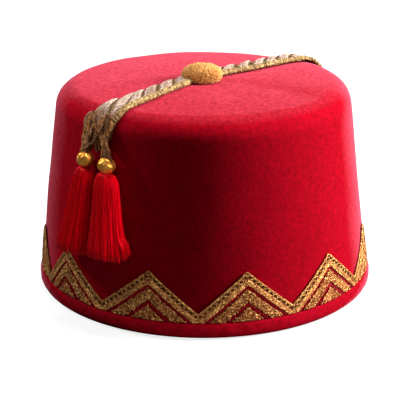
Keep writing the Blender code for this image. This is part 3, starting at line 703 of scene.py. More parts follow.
# %% Stitches
ZIGZAG_PEAK = 0.0347
ZIGZAG_VALLEY = 0.0133
ZIGZAG_BAND = 0.0070
GROUND = GAP + 0.0003  # top of the embroidery's ground over the felt
SEAM = BINDING_HEIGHT + 0.0004  # where the binding covers the embroidery
REPEATS = (
    # azimuth of a point and of the valley after it, in degrees
    (-11.0, -27.7), (-43.3, -60.1), (-75.8, -91.8), (-108.2, -125.0), (-143.6, -155.6), (-168.0, -185.0),
    (-202.0, -219.0), (-236.0, -252.5), (-269.5, -286.5), (-303.5, -320.5), (-337.0, -354.0),
)
corners = [(6.0, ZIGZAG_VALLEY)]
for point, valley in REPEATS:
    corners += [(point, ZIGZAG_PEAK), (valley, ZIGZAG_VALLEY)]
ZIGZAG = np.array(corners)
ARMS = len(ZIGZAG) - 1
ARM = 0.0339  # length of an arm
ARM_SPAN = 0.0268  # its length along the foot
ARM_RISE = ZIGZAG_PEAK - ZIGZAG_VALLEY
STITCH = 0.00040  # radius of the thread in a stitch
rng = np.random.default_rng(7)


def along_zigzag(share, drop):
    """(azimuth, height) at a share counted in arms, a distance under the upper edge."""
    places = np.arange(len(ZIGZAG))
    azimuth = np.interp(share, places, ZIGZAG[:, 0])
    return np.stack([azimuth, np.interp(share, places, ZIGZAG[:, 1]) - drop], axis=-1)


def spaced(pitch):
    """Evenly spaced shares along all arms."""
    return np.linspace(0.0, ARMS, int(ARMS * ARM / pitch), endpoint=False)


def stitches(name, ends, radius, lift, bulge, material, slot, rings=5, sides=5, flat=1.0):
    """Short threads on the wall between pairs of (azimuth, height), ended at the binding."""
    start, end = ends
    swap = start[:, 1] < end[:, 1]
    start, end = np.where(swap[:, None], end, start), np.where(swap[:, None], start, end)
    share = np.clip((start[:, 1] - SEAM) / np.maximum(start[:, 1] - end[:, 1], 1e-6), 0.0, 1.0)
    end = start + (end - start) * share[:, None]
    kept = (start[:, 1] > SEAM + radius) & (share > 0.12)
    start, end = start[kept], end[kept]
    t = np.linspace(0.0, 1.0, rings)
    places = start[:, None] + (end - start)[:, None] * t[None, :, None]
    rise = lift + bulge * 4 * t * (1 - t)
    paths = on_wall(places[..., 0], places[..., 1], rise[None, :])
    profile = radius * np.interp(t, [0, 0.2, 0.8, 1], [0.45, 1, 1, 0.45])
    return threads(name, paths, profile, from_axis(paths), material, slot, sides=sides, flat=flat)


print("arms of the zigzag:", ARMS, "each", round(1000 * ARM, 1), "mm long")

# %% The braid's tape and its twisted edge
TAPE_MIDDLE, TAPE_HALF = 0.0035, 0.0033  # under the zigzag's upper edge, and half the width
TAPE_THICKNESS = 0.00025
EDGE_PITCH, EDGE_SLANT, EDGE_WIDTH = 0.00066, 0.0011, 0.0009


def taped(points):
    """Folds a flat strip into the zigzag, and tucks its lower corners under the binding."""
    places = along_zigzag(0.5 * (points[:, 0] + 1) * ARMS, TAPE_MIDDLE - TAPE_HALF * points[:, 1])
    return on_wall(places[:, 0], np.maximum(places[:, 1], SEAM), GROUND)


tape_mesh = flat_grid("zigzag_tape", 8 * ARMS, 4)
moved(tape_mesh, taped)
facing_out(tape_mesh, merge=1e-5)
tape = finished("zigzag_tape", tape_mesh, SHADED_BRAID_TAPE, "gold_gimp", "zigzag_braid")
tape.modifiers.new("thickness", "SOLIDIFY").thickness = TAPE_THICKNESS
share = spaced(EDGE_PITCH)
ends = along_zigzag(share, 0.0), along_zigzag(share + EDGE_SLANT / ARM, EDGE_WIDTH)
stitches("zigzag_edge_cord", ends, 0.00030, GROUND + 0.0001, 0.0002, THREAD["gold_gimp"], "gold_gimp")
print("turns of the edge cord:", len(share))

# %% The braid's open loops
HOLES = 11  # in each arm
HOLE_DROP = 0.0023  # under the zigzag's upper edge
LOOP_LONG, LOOP_WIDE = 0.00134, 0.00108
around = np.linspace(0.0, 2.1 * math.pi, 14)[None, :]
centres = np.concatenate([arm + (np.arange(HOLES) + 0.5) / HOLES for arm in range(ARMS)])
middle = along_zigzag(centres, HOLE_DROP)
lean = np.where(np.floor(centres) % 2 == 0, 1, -1) * math.atan2(ARM_RISE, ARM_SPAN)
lean = lean[:, None]
long_way, short_way = LOOP_LONG * np.cos(around), LOOP_WIDE * np.sin(around)
level = wall_radius(middle[:, 1])[:, None]
turned = middle[:, :1] - np.degrees((long_way * np.cos(lean) - short_way * np.sin(lean)) / level)
risen = middle[:, 1:] + long_way * np.sin(lean) + short_way * np.cos(lean)
kept = risen.min(axis=1) > SEAM + 0.0002
loops = on_wall(turned[kept], risen[kept], GROUND + 0.0003)
threads("zigzag_loops", loops, 0.00025, from_axis(loops), THREAD["gold_gimp"], "gold_gimp", sides=6)
print("loops:", kept.sum())

# %% The braid's laid band, and the red lines beside the gold
BAND_DROPS = (0.0041, 0.0047, 0.0053, 0.0059, 0.0065)  # of its rows, under the zigzag's upper edge
BAND_PITCH, BAND_STITCH = 0.0021, 0.0027
RED_DROPS = (0.0077, 0.0084, 0.0168, 0.0175)
RED_PITCH, RED_STITCH = 0.0016, 0.0021
rows = []
for row, drop in enumerate(BAND_DROPS):
    share = spaced(BAND_PITCH) + 0.37 * row * BAND_PITCH / ARM
    jitter = rng.normal(0, 0.00012, (2, len(share)))
    start = along_zigzag(share, drop + jitter[0])
    rows.append((start, along_zigzag(share + BAND_STITCH / ARM, drop + jitter[1])))
band = [np.concatenate(part) for part in zip(*rows)]
lift = GROUND + 0.0002
stitches("zigzag_laid_band", band, STITCH, lift, 0.0003, THREAD["gold_gimp"], "gold_gimp", flat=0.7)

share = spaced(RED_PITCH)
rows = [(along_zigzag(share, drop), along_zigzag(share + RED_STITCH / ARM, drop)) for drop in RED_DROPS]
red = [np.concatenate(part) for part in zip(*rows)]
stitches("zigzag_red_lines", red, STITCH, GAP, 0.0002, RED_BINDING, "red_thread", rings=3, sides=4)
print("stitches in the band and the red lines:", len(band[0]), len(red[0]))

# %% [markdown]
# Inside each point lie a chevron and a filled triangle. They are worked by hand in short slanted stitches of
# several rows, and the thread's ends fray along the edges. Uneven lengths and a few stray ends keep the
# edges soft.

# %% Chevrons and triangles
CHEVRON_GAP, CHEVRON_BAND, TRIANGLE_GAP = 0.0021, 0.0068, 0.0025
FRAYED_EDGE, FRAYED_INSIDE = 0.00034, 0.00022
LAYERS = (
    # name, rows in a chevron, slant, lift, seed
    ("under", 4, 0.0010, 0.0002, 5),
    ("over", 5, -0.0008, 0.0005, 6),
)


def slanted_rows(apex, depth, rows, pitch, slant, seed):
    """Start and end of short stitches in rows under both arms of a point at a height."""
    random = np.random.default_rng(seed)
    starts, ends = [], []
    share = np.arange(0.0, (apex - SEAM) / ARM_RISE, pitch / ARM)
    count = len(share)
    for index, (point, after) in enumerate(REPEATS):
        before = REPEATS[index - 1][1] + (360.0 if index == 0 else 0.0)
        for valley in (before, after):
            for row in range(rows):
                drop = depth * row / rows
                first = share + random.normal(0, 0.25 * pitch / ARM, count)
                frayed = FRAYED_EDGE if row in (0, rows - 1) else FRAYED_INSIDE
                high = apex - first * ARM_RISE - drop + random.normal(0, frayed, count)
                low = high - depth / rows * 1.15 - slant * ARM_RISE / ARM + random.normal(0, frayed, count)
                azimuth = point + (valley - point) * first
                starts.append(np.stack([azimuth, high], axis=-1))
                ends.append(np.stack([azimuth + (valley - point) * slant / ARM, low], axis=-1))
    return np.concatenate(starts), np.concatenate(ends)


def filling(name, lift, material, slot, *rows):
    """One layer of a chevron's or a triangle's stitches, all round the hat."""
    return stitches(name, slanted_rows(*rows), STITCH, GAP + lift, 0.0003, material, slot, rings=3, sides=4)


chevron_apex = ZIGZAG_PEAK - ZIGZAG_BAND - CHEVRON_GAP
triangle_apex = chevron_apex - CHEVRON_BAND - TRIANGLE_GAP
for layer, count, slant, lift, seed in LAYERS:
    rows = chevron_apex - 0.0003, 0.0060, count, 0.00082, slant, seed
    made = filling("chevron_stitches_" + layer, lift, THREAD["gold_chevron"], "gold_chevron", *rows)
    rows = triangle_apex - 0.0003, 0.0072, 5, 0.00084, -slant, seed + 4
    other = filling("triangle_stitches_" + layer, lift, THREAD["gold_triangle"], "gold_triangle", *rows)
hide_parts(*[node for node in frame["nodes"] if node.startswith("chevron_")])
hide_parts(*[node for node in frame["nodes"] if node.startswith("triangle_")])
sewn = [piece for piece in bpy.data.objects if "stitches" in piece.name or "zigzag_" in piece.name]
print("embroidery:", sum(len(piece.data.polygons) for piece in sewn), "faces")

# %% [markdown]
# ## Strap
# The strap is a flat plait with a thick gold cord along its front edge. Seen from above, each strand of the
# plait leaves the cord, crosses to the far edge on a slant and turns under there, so that this edge is
# scalloped. A strand is a dozen silk threads, gold at its sides and lilac in its middle, and a thin dark
# line lies between two strands. The strands are made one by one from threads, which makes them plump.

# %% Where the strap runs
STRAP_WIDTH = 0.0103
STRAP_THICKNESS = 0.0022
FRONT_AZIMUTH = math.radians(-127.2)
FAR_AZIMUTH = math.radians(44.7)
FAR_SHIFT = 0.0023
BUTTON_RADIUS = 0.0117
STRAP_SHAPE = np.array([
    # place among the landmarks, then width, drift to the left and lift, as shares of width and thickness
    (0.00, 1.76, 0.51, 0.30), (1.00, 1.82, 0.50, 0.05), (1.40, 1.81, 0.49, 0.00),
    (1.60, 1.72, 0.36, 0.00), (1.80, 1.50, 0.22, 0.00), (2.00, 1.31, 0.15, 0.00),
    (2.25, 1.08, 0.03, 0.00), (2.80, 0.96, 0.00, 0.00), (3.20, 1.00, 0.00, 0.00),
    (3.40, 1.18, -0.09, 0.05), (3.80, 1.24, -0.10, 0.10), (4.00, 1.28, -0.16, 0.25),
    (4.30, 1.24, -0.38, 0.50), (4.60, 1.16, -0.62, 0.60), (5.00, 1.16, -0.80, 0.45),
    (6.00, 1.10, -0.90, 0.00),
])
NEAR_END = -run_at_height(0.0970)
FAR_END = run_at_height(0.0880)
rim_run = run_at_height(RIM_HEIGHT)
wall_run = run_at_height(SHOULDER_HEIGHT + SHOULDER_RADIUS * math.sin(LEAN))
LANDMARKS = [NEAR_END, -wall_run, -rim_run, 0.0, rim_run, wall_run, FAR_END]


def strap_shape(run):
    """Width, drift and lift of the strap at signed runs."""
    place = np.interp(run, LANDMARKS, range(len(LANDMARKS)))
    width, drift, lift = (np.interp(place, STRAP_SHAPE[:, 0], column) for column in STRAP_SHAPE.T[1:])
    return width * STRAP_WIDTH, drift * STRAP_WIDTH, lift * STRAP_THICKNESS


def strap_point(run, side, lift):
    """Points over the crown in the strap's own directions: along it, to its left, and off the felt."""
    run, side, lift = np.broadcast_arrays(run, side, lift)
    near = np.array([-math.cos(FRONT_AZIMUTH), -math.sin(FRONT_AZIMUTH)])
    far = np.array([math.cos(FAR_AZIMUTH), math.sin(FAR_AZIMUTH)])
    share = eased(0.5 + 0.5 * run / BUTTON_RADIUS)[..., None]
    along = unit(near + (far - near) * share)
    shift = np.array([far[1], -far[0]]) * FAR_SHIFT
    middle = near * run[..., None] * (1 - share) + (far * run[..., None] + shift) * share
    stretch = np.maximum(1.0, np.abs(run) / np.maximum(np.interp(np.abs(run), RUN, LEVEL), 1e-6))
    place = middle + np.stack([-along[..., 1], along[..., 0]], axis=-1) * (side * stretch)[..., None]
    turn, level = turn_and_level(place)
    return on_crown(level, turn, lift)


print("strap over the felt:", round(1000 * (FAR_END - NEAR_END)), "mm")

# %% The strap's ground
STRAP_GROUND = 0.0009


def under_strap(points):
    """Lays a flat strip under the strap's threads."""
    run = np.interp(points[:, 0], [-1, 1], [NEAR_END - 0.002, FAR_END])
    width, drift, lift = strap_shape(run)
    return strap_point(run, drift + 0.44 * width * points[:, 1], lift + GAP)


ground_mesh = flat_grid("strap_ground", 150, 8)
moved(ground_mesh, under_strap)
ground_mesh.shade_smooth()
ground = finished("strap_ground", ground_mesh, STRAP_BACK, "gold_braid", "strap")
thicken = ground.modifiers.new("thickness", "SOLIDIFY")
thicken.thickness = STRAP_GROUND
thicken.offset = 1.0
print("ground:", len(ground_mesh.polygons), "faces")

# %% The plaited strands
CORD_WIDE = 0.0038  # gold cord on the front edge
CORD_TALL = 0.0023
NEAR_PITCH, FAR_PITCH = 0.0133, 0.0102  # from one strand to the next, on each side of the button
STRAND_THREADS = 13
STRAND_STEPS = 15
STRAND_LENGTH = 1.45  # along the strap, for each step across it
TURN_UNDER = 0.93  # share of a strand after which it turns under


def front_edge(run):
    """Where the plait ends to the strap's right. The soft cord spreads further on the far half."""
    run = np.asarray(run)
    width, drift, _ = strap_shape(run)
    spread = eased((run - 0.015) / 0.020) * eased((FAR_END + 0.004 - run) / 0.020)
    return drift - 0.5 * width - 0.0006 - 0.0017 * spread


def cord_middle(run):
    """The middle of the gold cord, to the strap's left."""
    return front_edge(run) + 0.5 * CORD_WIDE


def strand_starts():
    """Where each plaited strand leaves the gold cord, closer together on the far half."""
    run, starts = NEAR_END - 0.040, []
    while run < FAR_END - 0.004:
        starts.append(run)
        run += NEAR_PITCH if run < 0 else FAR_PITCH
    return np.array(starts)


def plait(across, start, pitch):
    """Paths of threads in one strand. `across` goes from -1 to 1 over the strand's width."""
    u = np.asarray(across)[:, None]
    width, drift, lift = strap_shape(start)
    first = front_edge(start) + CORD_WIDE * 0.75
    last = drift + width * (0.55 - 0.15 * u**2)
    span = last - first
    begin, reach = start + 0.5 * pitch * u, STRAND_LENGTH * span
    low, high = (np.clip((limit - begin) / reach, 0.0, 1.0) for limit in (NEAR_END + 0.001, FAR_END))
    t = low + (high - low) * np.linspace(0.0, 1.0, STRAND_STEPS)[None, :]
    over, under = np.minimum(t / TURN_UNDER, 1.0), np.clip((t - TURN_UNDER) / 0.07, 0.0, 1.0)
    run = begin + reach * (over + 0.05 * np.sin(2 * math.pi * over))
    share = (first + span * over - drift) / width
    width, drift, lift = strap_shape(run)
    dome = np.sqrt(1.0 - 0.85 * u**2) * (1.0 - under)
    return run, drift + width * share + 0.0003 * under, lift + GAP + 0.0005 + 0.0016 * dome


def strap_threads(name, across, raised, radius, material):
    """One kind of thread in all strands, cut off at the strap's two ends."""
    pieces = [plait(across, start, pitch) for start, pitch in zip(starts, pitches)]
    run, side, lift = (np.concatenate(part) for part in zip(*pieces))
    kept = run.max(axis=1) - run.min(axis=1) > 0.002
    paths = strap_point(run[kept], side[kept], lift[kept] + raised)
    threads(name, paths, radius * taper, from_inside(paths), material, "gold_braid", sides=5, flat=0.9)


starts = strand_starts()
pitches = np.where(starts < 0, NEAR_PITCH, FAR_PITCH)
across = np.linspace(-0.92, 0.92, STRAND_THREADS)
inner = np.abs(across) < 0.68
taper = np.interp(np.linspace(0, 1, STRAND_STEPS), [0, 0.1, 0.9, 1], [0.7, 1, 1, 0.7])
strap_threads("strap_silk", across[inner], 0.0, 0.00036, THREAD["strap_silk"])
strap_threads("strap_gold_edges", across[~inner], 0.0, 0.00038, THREAD["strap_gold"])
strap_threads("strap_dark_lines", [1.0], 0.0010, 0.00034, THREAD["dark_line"])
print("plaited strands:", len(starts))

# %% [markdown]
# The gold cord is a thick core wound with metal thread. Each turn of the winding shows as a short slanted
# arc, and the arcs are uneven, which makes the cord look grainy. It runs on past the plait at the far end.

# %% The gold cord along the strap
WINDING_PITCH = 0.00052
WINDING_SLANT = 0.0018
CORD_THINS = 0.010  # length over which the cord thins out at each end
runs = np.arange(-rim_run - 0.019, FAR_END + 0.006, WINDING_PITCH)
runs = runs + rng.normal(0, 0.00008, len(runs))
arc = np.linspace(0.02, 1.0, 7)[None, :] * math.pi
tail = np.clip((runs - FAR_END + 0.004) / CORD_THINS, 0.0, 1.0)[:, None]
tail = np.maximum(tail, 2.0 * np.clip((-rim_run - 0.009 - runs) / CORD_THINS, 0.0, 1.0)[:, None])
swollen = (1 + 0.04 * rng.normal(size=(len(runs), 1))) * (1 - 0.35 * tail)
run = runs[:, None] + WINDING_SLANT * (arc / math.pi - 0.5)
side = cord_middle(runs)[:, None] - 0.5 * CORD_WIDE * swollen * np.cos(arc)
lift = strap_shape(runs)[2][:, None] + GAP + 0.0002 + CORD_TALL * swollen * np.sin(arc)
paths = strap_point(run, side, lift)
away = unit(paths - strap_point(run, cord_middle(runs)[:, None], GAP + 0.0004))
threads("strap_cord_winding", paths, 0.00036, away, THREAD["strap_gold"], "gold_braid", sides=5, flat=0.8)

core_runs = np.linspace(runs[0], runs[-1], 120)
core = strap_point(core_runs, cord_middle(core_runs), strap_shape(core_runs)[2] + GAP + 0.0010)[None]
threads("strap_cord_core", core, 0.0011, from_inside(core), STRAP_BACK, "gold_braid", sides=10, flat=0.85)
print("turns of the winding:", len(runs))

# %% [markdown]
# ## Beads, tassels and what carries them
# Below the shoulder the plait comes undone. Its threads gather into two bundles, each into a bead, and the
# tassels hang from the beads. A tassel is a thousand silk strands that leave the bead together, round out,
# and fall in loose locks to an uneven hem.

# %% The hanging frame
HANGING = {
    # azimuth at the bead and at the hem, height of the bead and of the hem, half width at the hem
    "left": (-133.2, -136.4, 0.0867, 0.0370, 0.0109),
    "right": (-123.8, -121.7, 0.0861, 0.0385, 0.0121),
}
BEAD_RADIUS = 0.00465
BEAD_HEIGHT = 0.0084
STANDOFF = BEAD_RADIUS + 0.0006  # of a bead's middle from the wall
UPRIGHT = np.array([0, 0, 1])


def hanging(azimuth, height, standoff, sideways=0.0, outward=0.0):
    """Points before the wall: a standoff from it, then sideways to the viewer's right, and out."""
    given = np.broadcast_arrays(azimuth, height, standoff, sideways, outward)
    azimuth, height, standoff, sideways, outward = given
    turn = np.radians(azimuth)
    out = np.stack([np.cos(turn), np.sin(turn), np.zeros_like(turn)], axis=-1)
    side = np.stack([-np.sin(turn), np.cos(turn), np.zeros_like(turn)], axis=-1)
    normal = out * math.cos(LEAN) + UPRIGHT * math.sin(LEAN)
    middle = out * wall_radius(height)[..., None] + UPRIGHT * height[..., None]
    return blocked(middle + normal * (standoff + outward)[..., None] + side * sideways[..., None])


# %% The beads
BORE = 0.0013
lip = math.asin(BORE / BEAD_RADIUS)
arc = np.linspace(math.pi / 2 - lip, lip - math.pi / 2, 25)
shell = [(BEAD_RADIUS * math.cos(angle), 0.5 * BEAD_HEIGHT * math.sin(angle)) for angle in arc]
bored = [(BORE * 0.8, 0.46 * BEAD_HEIGHT * end) for end in (-1, -0.5, 0.5, 1)]


def dented(points, seed):
    """Makes a bead, whose middle is at the origin, a little uneven."""
    return uneven(points + HEART, 330.0, 0.00022, seed) - HEART


def hung(points, azimuth, height):
    """Takes a bead from the origin to its place before the wall."""
    return hanging(azimuth, height + points[:, 2] * math.cos(LEAN), STANDOFF, points[:, 0], -points[:, 1])


for name, (azimuth, _, height, _, _) in HANGING.items():
    mesh = spun(f"bead_{name}_skin", shell + bored, 40, closed=True)
    moved(mesh, lambda points: dented(points, azimuth))
    moved(mesh, lambda points: hung(points, azimuth, height))
    facing_out(mesh)
    finished(f"bead_{name}_skin", mesh, GOLD, "polished_gold", f"bead_{name}")
    print("bead on the", name, "at a height of", round(1000 * height, 1), "mm")

# %% Where a tassel's points lie
TASSEL_OUTLINE = np.array([
    # share of the length, half width, half depth
    (0.00, 0.14, 0.22), (0.012, 0.34, 0.45), (0.03, 0.46, 0.60), (0.09, 0.60, 0.76), (0.23, 0.68, 0.84),
    (0.48, 0.76, 0.88), (0.72, 0.87, 0.94), (0.89, 0.98, 0.98), (1.00, 1.02, 1.00),
])
TASSEL_DEPTH = 0.0058
SETTLING = 0.3  # share of its length over which a tassel comes down onto the wall


def tassel_size(name, down):
    """Half width and half depth of a tassel at shares of its length."""
    wide, deep = (np.interp(down, TASSEL_OUTLINE[:, 0], column) for column in TASSEL_OUTLINE.T[1:])
    return HANGING[name][4] * wide, TASSEL_DEPTH * deep


def in_tassel(name, down, sideways, outward):
    """Points in a tassel: a share of its length down, sideways, and out from its middle."""
    azimuth, hem, height, hem_height, _ = HANGING[name]
    top = height - 0.5 * BEAD_HEIGHT * math.cos(LEAN) + 0.0002
    depth = tassel_size(name, down)[1]
    stand = STANDOFF + (depth - STANDOFF) * np.minimum(down / SETTLING, 1.0)
    where, tall = azimuth + (hem - azimuth) * down, top + (hem_height - top) * down
    return hanging(where, tall, np.maximum(depth + GAP, stand), sideways, outward)


# %% The tassels' strands
STRANDS = 1000
LOCKS = 24
DOWN = np.concatenate([[0.0, 0.012, 0.03, 0.06], np.linspace(0.10, 1.0, 10)])
STRAND_PROFILE = 0.00023 * np.interp(DOWN, [0, 0.1, 0.9, 1], [0.8, 1, 1, 0.5])
for name, seed in {"left": 11, "right": 23}.items():
    random = np.random.default_rng(seed)
    angle = random.uniform(0, 2 * math.pi, STRANDS)
    lock = np.round(angle / (2 * math.pi) * LOCKS) / LOCKS * 2 * math.pi
    outer = random.random(STRANDS) < 0.8
    level = np.where(outer, random.uniform(0.86, 1.0, STRANDS), random.uniform(0.3, 0.86, STRANDS))
    short = 0.045 * random.random(STRANDS) ** 2 * (0.4 + random.random(STRANDS))
    down = DOWN[None, :] * (1 - short)[:, None]
    drawn = angle[:, None] + (lock - angle)[:, None] * 0.22 * eased(DOWN)[None, :]
    drawn = drawn + 0.05 * np.sin(6 * down + 20 * random.random((STRANDS, 1)))
    swell = level[:, None] * (1 + 0.05 * np.sin(15 * drawn) * DOWN[None, :])
    wide, deep = (size * swell for size in tassel_size(name, down))
    wide = 0.95 * wide
    if name == "right":
        flared = (np.cos(angle) > 0.90)[:, None] * random.uniform(0.3, 1.0, (STRANDS, 1))
        wide = wide + 0.0030 * eased((down - 0.78) / 0.2) * flared
        down = down * (1 - 0.12 * flared * eased((down - 0.5) / 0.4))
    paths = in_tassel(name, down, wide * np.cos(drawn), deep * np.sin(drawn))
    piece = f"tassel_{name}_strands", paths, STRAND_PROFILE, from_axis(paths), RED_THREAD, "red_thread"
    threads(*piece, f"tassel_{name}", sides=4)
    print("tassel on the", name, "with", STRANDS, "strands")

# %% The tassels' cores


def cored(points, name):
    """Shapes an upright tube one long and one in radius to the inside of a tassel."""
    down = 0.008 + 0.93 * (0.5 - points[:, 2])
    wide, deep = tassel_size(name, down)
    return in_tassel(name, down, points[:, 0] * (0.90 * wide), -points[:, 1] * 0.90 * deep)


for name in HANGING:
    bm = bmesh.new()
    bmesh.ops.create_cone(bm, cap_ends=True, segments=28, radius1=1, radius2=1, depth=1.0)
    cut_across(bm, np.linspace(-0.45, 0.45, 12))
    mesh = mesh_from(bm, f"tassel_{name}_core")
    moved(mesh, lambda points: cored(points, name))
    mesh.shade_smooth()
    finished(f"tassel_{name}_core", mesh, TASSEL_CORE, "red_thread")
    print("core on the", name, "of", len(mesh.polygons), "faces")

# %% [markdown]
# The undone end of the plait is brown rather than gold, because only the cores of its threads are left. The
# threads start side by side across the strap and are drawn together over each bead. Two thin cords, laid
# over them, carry the beads' weight.

# %% The undone end
LOOSE = 38
STEPS = 44
LEFT, RIGHT, FREE = 0, 1, 2  # a loose strand leads to one of the beads, or to none
FREE_AZIMUTH, FREE_HEIGHT = -129.0, 0.0880
PLY_PITCH = 0.0060
random = np.random.default_rng(31)
place = np.linspace(-0.43, 0.47, LOOSE) + random.normal(0, 0.012, LOOSE)
leads = np.where(place > 0.14, LEFT, np.where(place < -0.10, RIGHT, FREE))
beads = np.array([HANGING["left"][0], HANGING["right"][0], FREE_AZIMUTH])
stops = np.array([HANGING["left"][2], HANGING["right"][2], FREE_HEIGHT]) + 0.36 * BEAD_HEIGHT
end_height = stops[leads] + np.where(leads == FREE, random.uniform(-0.002, 0.003, LOOSE), 0.0)
end_run = -run_at_height(end_height)
t = np.linspace(0.0, 1.0, STEPS)[None, :]
start_run = -rim_run - random.uniform(0.007, 0.013, LOOSE)
run = start_run[:, None] + (end_run - start_run)[:, None] * t
width, drift, lift = strap_shape(run)
gather = np.where(leads == FREE, 0.0035, 0.0014) * random.normal(size=LOOSE)
end_side = -(np.radians(beads[leads]) - FRONT_AZIMUTH) * wall_radius(end_height) + gather
below = eased((NEAR_END + 0.009 - run) / (NEAR_END + 0.009 - end_run[:, None]))
side = (drift + width * place[:, None]) * (1 - below) + end_side[:, None] * below
side = side + 0.0007 * np.sin(8 * t + 6 * random.random((LOOSE, 1))) * np.sin(math.pi * t)
level = GAP + 0.0009 + 0.0012 * random.random((LOOSE, 1))
rise = level + lift * (1 - below) + np.where(leads == FREE, 0.001, STANDOFF - 0.0016)[:, None] * below
pieces = []
for ply in range(3):
    phase = 2 * math.pi * ((run[:, :1] - run) / PLY_PITCH + ply / 3 + random.random((LOOSE, 1)))
    pieces.append(strap_point(run, side + 0.00042 * np.cos(phase), rise + 0.00036 * np.sin(phase)))
undone = np.concatenate(pieces)
threads("undone_end", undone, 0.00046, from_inside(undone), THREAD["brown_thread"], "gold_braid", sides=5)
print("undone threads:", len(undone))

# %% Hairs that spring from it
HAIRS = 150
picked = random.integers(0, len(undone), HAIRS), random.integers(2, STEPS - 2, HAIRS)
root = undone[picked]
spring = unit(from_inside(root) * 0.5 + random.normal(0, 0.7, (HAIRS, 3)))
reach = 0.0008 + 0.0009 * random.random((HAIRS, 1, 1))
hairs = root[:, None] + spring[:, None] * reach * np.linspace(0, 1, 4)[None, :, None]
away = np.roll(spring, 1, axis=1)[:, None]
threads("frayed_hairs", hairs, 0.00010, away, THREAD["brown_thread"], "gold_braid", sides=3)
print("hairs:", HAIRS)

# %% The two thin cords
CORD_RADIUS = 0.0005
CORD_AZIMUTH = math.radians(-126.9)  # where both start
CORD_APART = 0.0008  # half the distance between them there
CORD_HEIGHT, FORK_HEIGHT = 0.1085, 0.1045
CORD_PITCH = 0.0026
PLY_OFFSET = 0.00024  # of each ply from the middle of its cord
for name, (azimuth, _, height, _, _) in HANGING.items():
    outward = 1 if name == "left" else -1
    end = height + 0.5 * BEAD_HEIGHT
    heights = np.linspace(CORD_HEIGHT, end, 60)
    spread = np.clip((FORK_HEIGHT - heights) / (FORK_HEIGHT - end), 0.0, 1.0)
    start = CORD_AZIMUTH - outward * CORD_APART / wall_radius(heights)
    turn = start + (math.radians(azimuth) - start) * spread
    cord_run = run_at_height(heights)
    hang = np.clip((cord_run + NEAR_END) / (run_at_height(end) + NEAR_END), 0.0, 1.0)
    under = strap_shape(-cord_run)[2]
    under = under + (STANDOFF - 0.5 * STRAP_THICKNESS - under) * eased(hang)
    over = under + STRAP_THICKNESS + 2 * GAP + CORD_RADIUS
    steps = np.hypot(np.diff(cord_run), np.diff(turn) * 0.085)
    length = np.concatenate([[0], np.cumsum(steps)])
    plies = []
    for ply in range(2):
        phase = 2 * math.pi * length / CORD_PITCH + math.pi * ply
        wound = turn + PLY_OFFSET * np.cos(phase) / wall_radius(heights)
        plies.append(on_crown(cord_run, wound, over + PLY_OFFSET * np.sin(phase)))
    plies = np.array(plies)
    piece = f"cord_{name}_plies", plies, 0.00030, from_axis(plies), THREAD["brown_cord"], "brown_cord"
    threads(*piece, f"tassel_cord_{name}", sides=6)
    print("cord on the", name, "is", round(1000 * length[-1], 1), "mm long over the felt")

# %% [markdown]
# ## Button
# The button is a domed knob covered in cut pile. Its body is spun, and short tufts stand out of it all over,
# spread by the golden angle so that they show no rows.

# %% The button's body
BUTTON_HEIGHT = 0.0079
BUTTON_WIDEST = 0.0029
BUTTON_PLACE = np.array([-0.0008, -0.0070, 0.0])
BODY_WIDE, BODY_TALL = 0.83, 0.81  # shares of the button inside the pile
base = HEIGHT[0] + GAP
half_height = BUTTON_HEIGHT - BUTTON_WIDEST
lowest = -math.asin(BUTTON_WIDEST / half_height)
angles = np.linspace(math.pi / 2, lowest, 24)
levels = BODY_WIDE * BUTTON_RADIUS * np.cos(angles)
levels[0] = 0.0
heights = base + BUTTON_WIDEST + BODY_TALL * half_height * np.sin(angles)
mesh = spun("button_body", [*zip(levels, heights), (0.0, base + 0.0004)], 48)
moved(mesh, lambda points: blocked(points + BUTTON_PLACE))
finished("button_body", mesh, BUTTON_CORE, "gold_pile", "button")
print("button:", round(2000 * BUTTON_RADIUS, 1), "mm across,", round(1000 * BUTTON_HEIGHT, 1), "mm high")

# %% The button's pile
TUFTS = 3200
ROOTS = 0.79  # share of the button at which the tufts are rooted
random = np.random.default_rng(41)
index = np.arange(TUFTS)
rise = 1.0 - (1.0 - math.sin(lowest)) * (index + 0.5) / TUFTS
turn = index * math.pi * (3 - math.sqrt(5))
ball = round_axis(np.sqrt(1 - rise**2), turn, rise)
half_sizes = np.array([BUTTON_RADIUS, BUTTON_RADIUS, half_height])
root = ROOTS * (ball * half_sizes) + np.array([0, 0, base + BUTTON_WIDEST]) + BUTTON_PLACE
lean = unit(unit(ball / half_sizes) + random.normal(0, 0.34, (TUFTS, 3)))
tall = 0.0014 + 0.0010 * random.random((TUFTS, 1))
paths = root[:, None] + lean[:, None] * tall[:, None] * np.linspace(0, 1, 3)[None, :, None]
paths[..., 2] = np.maximum(paths[..., 2], base - 0.0001)
profile = 0.00025 * np.array([1.0, 1.0, 0.6])
away = np.roll(lean, 1, axis=1)[:, None]
threads("button_pile", blocked(paths), profile, away, PILE, "gold_pile", sides=4)
print("tufts:", TUFTS)

# %% [markdown]
# ## Stage
# The camera stands where the photograph was taken from: a long lens, looking down by about twenty degrees.
# The main light is large and comes from the right, so that the right wall is bright and the near left wall
# falls into shade. A weaker one from behind on the left draws that edge, and one from above lights the top.
# A small lamp before the hat lights only silk, beads, button, embroidery and binding, which would otherwise
# be dull against the felt.

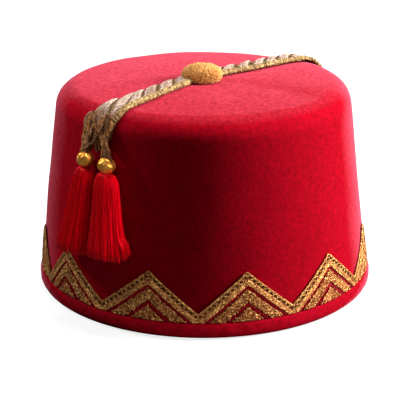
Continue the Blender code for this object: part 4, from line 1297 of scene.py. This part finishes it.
# %% Camera
CAMERA_PITCH = math.radians(19.55)
CAMERA_DISTANCE = 8 * FOOT_RADIUS
CAMERA_AIM = np.array([-0.0206 * FOOT_RADIUS + CENTRING, 0.0, 0.452 * FOOT_RADIUS])
camera_data = bpy.data.cameras.new("camera")
camera_data.lens = 118.575
camera_data.sensor_width = 36.0
camera_data.clip_start = 0.01
camera = bpy.data.objects.new("camera", camera_data)
back = np.array([0.0, math.cos(CAMERA_PITCH), -math.sin(CAMERA_PITCH)])
camera.location = CAMERA_AIM - CAMERA_DISTANCE * back
camera.rotation_euler = (math.pi / 2 - CAMERA_PITCH, 0.0, 0.0)
bpy.context.scene.collection.objects.link(camera)
bpy.context.scene.camera = camera
print("camera at", [round(part, 3) for part in camera.location])

# %% Floor
floor_mesh = flat_grid("floor", 2, 2, size=3.0)
floor_material, tree, shader = new_material("pale_floor", Roughness=0.9, Emission_Strength=1.0)
seen = node(tree, "LightPath").outputs["Is Camera Ray"]
tree.links.new(mixed(tree, seen, (0.12, 0.12, 0.12), (0.30, 0.30, 0.30)), shader.inputs["Base Color"])
tree.links.new(mixed(tree, seen, (0, 0, 0), (0.80, 0.80, 0.80)), shader.inputs["Emission Color"])
floor_mesh.materials.append(floor_material)
floor = bpy.data.objects.new("floor", floor_mesh)
floor.location.z = -0.0002
bpy.context.scene.collection.objects.link(floor)
print("floor under the hat by", round(-1000 * floor.location.z, 1), "mm")

# %% Lights and world
LIGHTS = (
    # name, azimuth, elevation, distance, size, power
    ("key", 2, 25, 1.3, 0.5, 38),
    ("rim", 165, 40, 1.2, 0.35, 8),
    ("overhead", 60, 80, 1.2, 0.5, 9.8),
    ("silk_lamp", -48, 22, 0.9, 0.3, 4.2),
)
LAMP_LIT = ("tassel_left_", "tassel_right_", "bead_", "button_", "zigzag_", "chevron_s", "triangle_s", "foot_b")


def area_light(name, azimuth, elevation, distance, size, power):
    """A round light that looks at the hat."""
    data = bpy.data.lights.new(name, "AREA")
    data.shape = "DISK"
    data.size, data.energy = size, power
    made = bpy.data.objects.new(name, data)
    turn, rise = math.radians(azimuth), math.radians(elevation)
    out = Vector((math.cos(turn) * math.cos(rise), math.sin(turn) * math.cos(rise), math.sin(rise)))
    made.location = Vector((0, 0, 0.07)) + out * distance
    made.rotation_euler = out.to_track_quat("Z", "Y").to_euler()
    bpy.context.scene.collection.objects.link(made)
    return made


lights = {light[0]: area_light(*light) for light in LIGHTS}
lamp_lit = bpy.data.collections.new("lit_by_silk_lamp")
for piece in bpy.data.objects:
    if piece.name.startswith(LAMP_LIT):
        lamp_lit.objects.link(piece)
lights["silk_lamp"].light_linking.receiver_collection = lamp_lit
world = bpy.data.worlds.new("studio")
world.use_nodes = True
background = world.node_tree.nodes["Background"]
background.inputs["Color"].default_value = (1, 1, 1, 1)
background.inputs["Strength"].default_value = 0.06
bpy.context.scene.world = world
bpy.context.scene.view_settings.view_transform = "Standard"
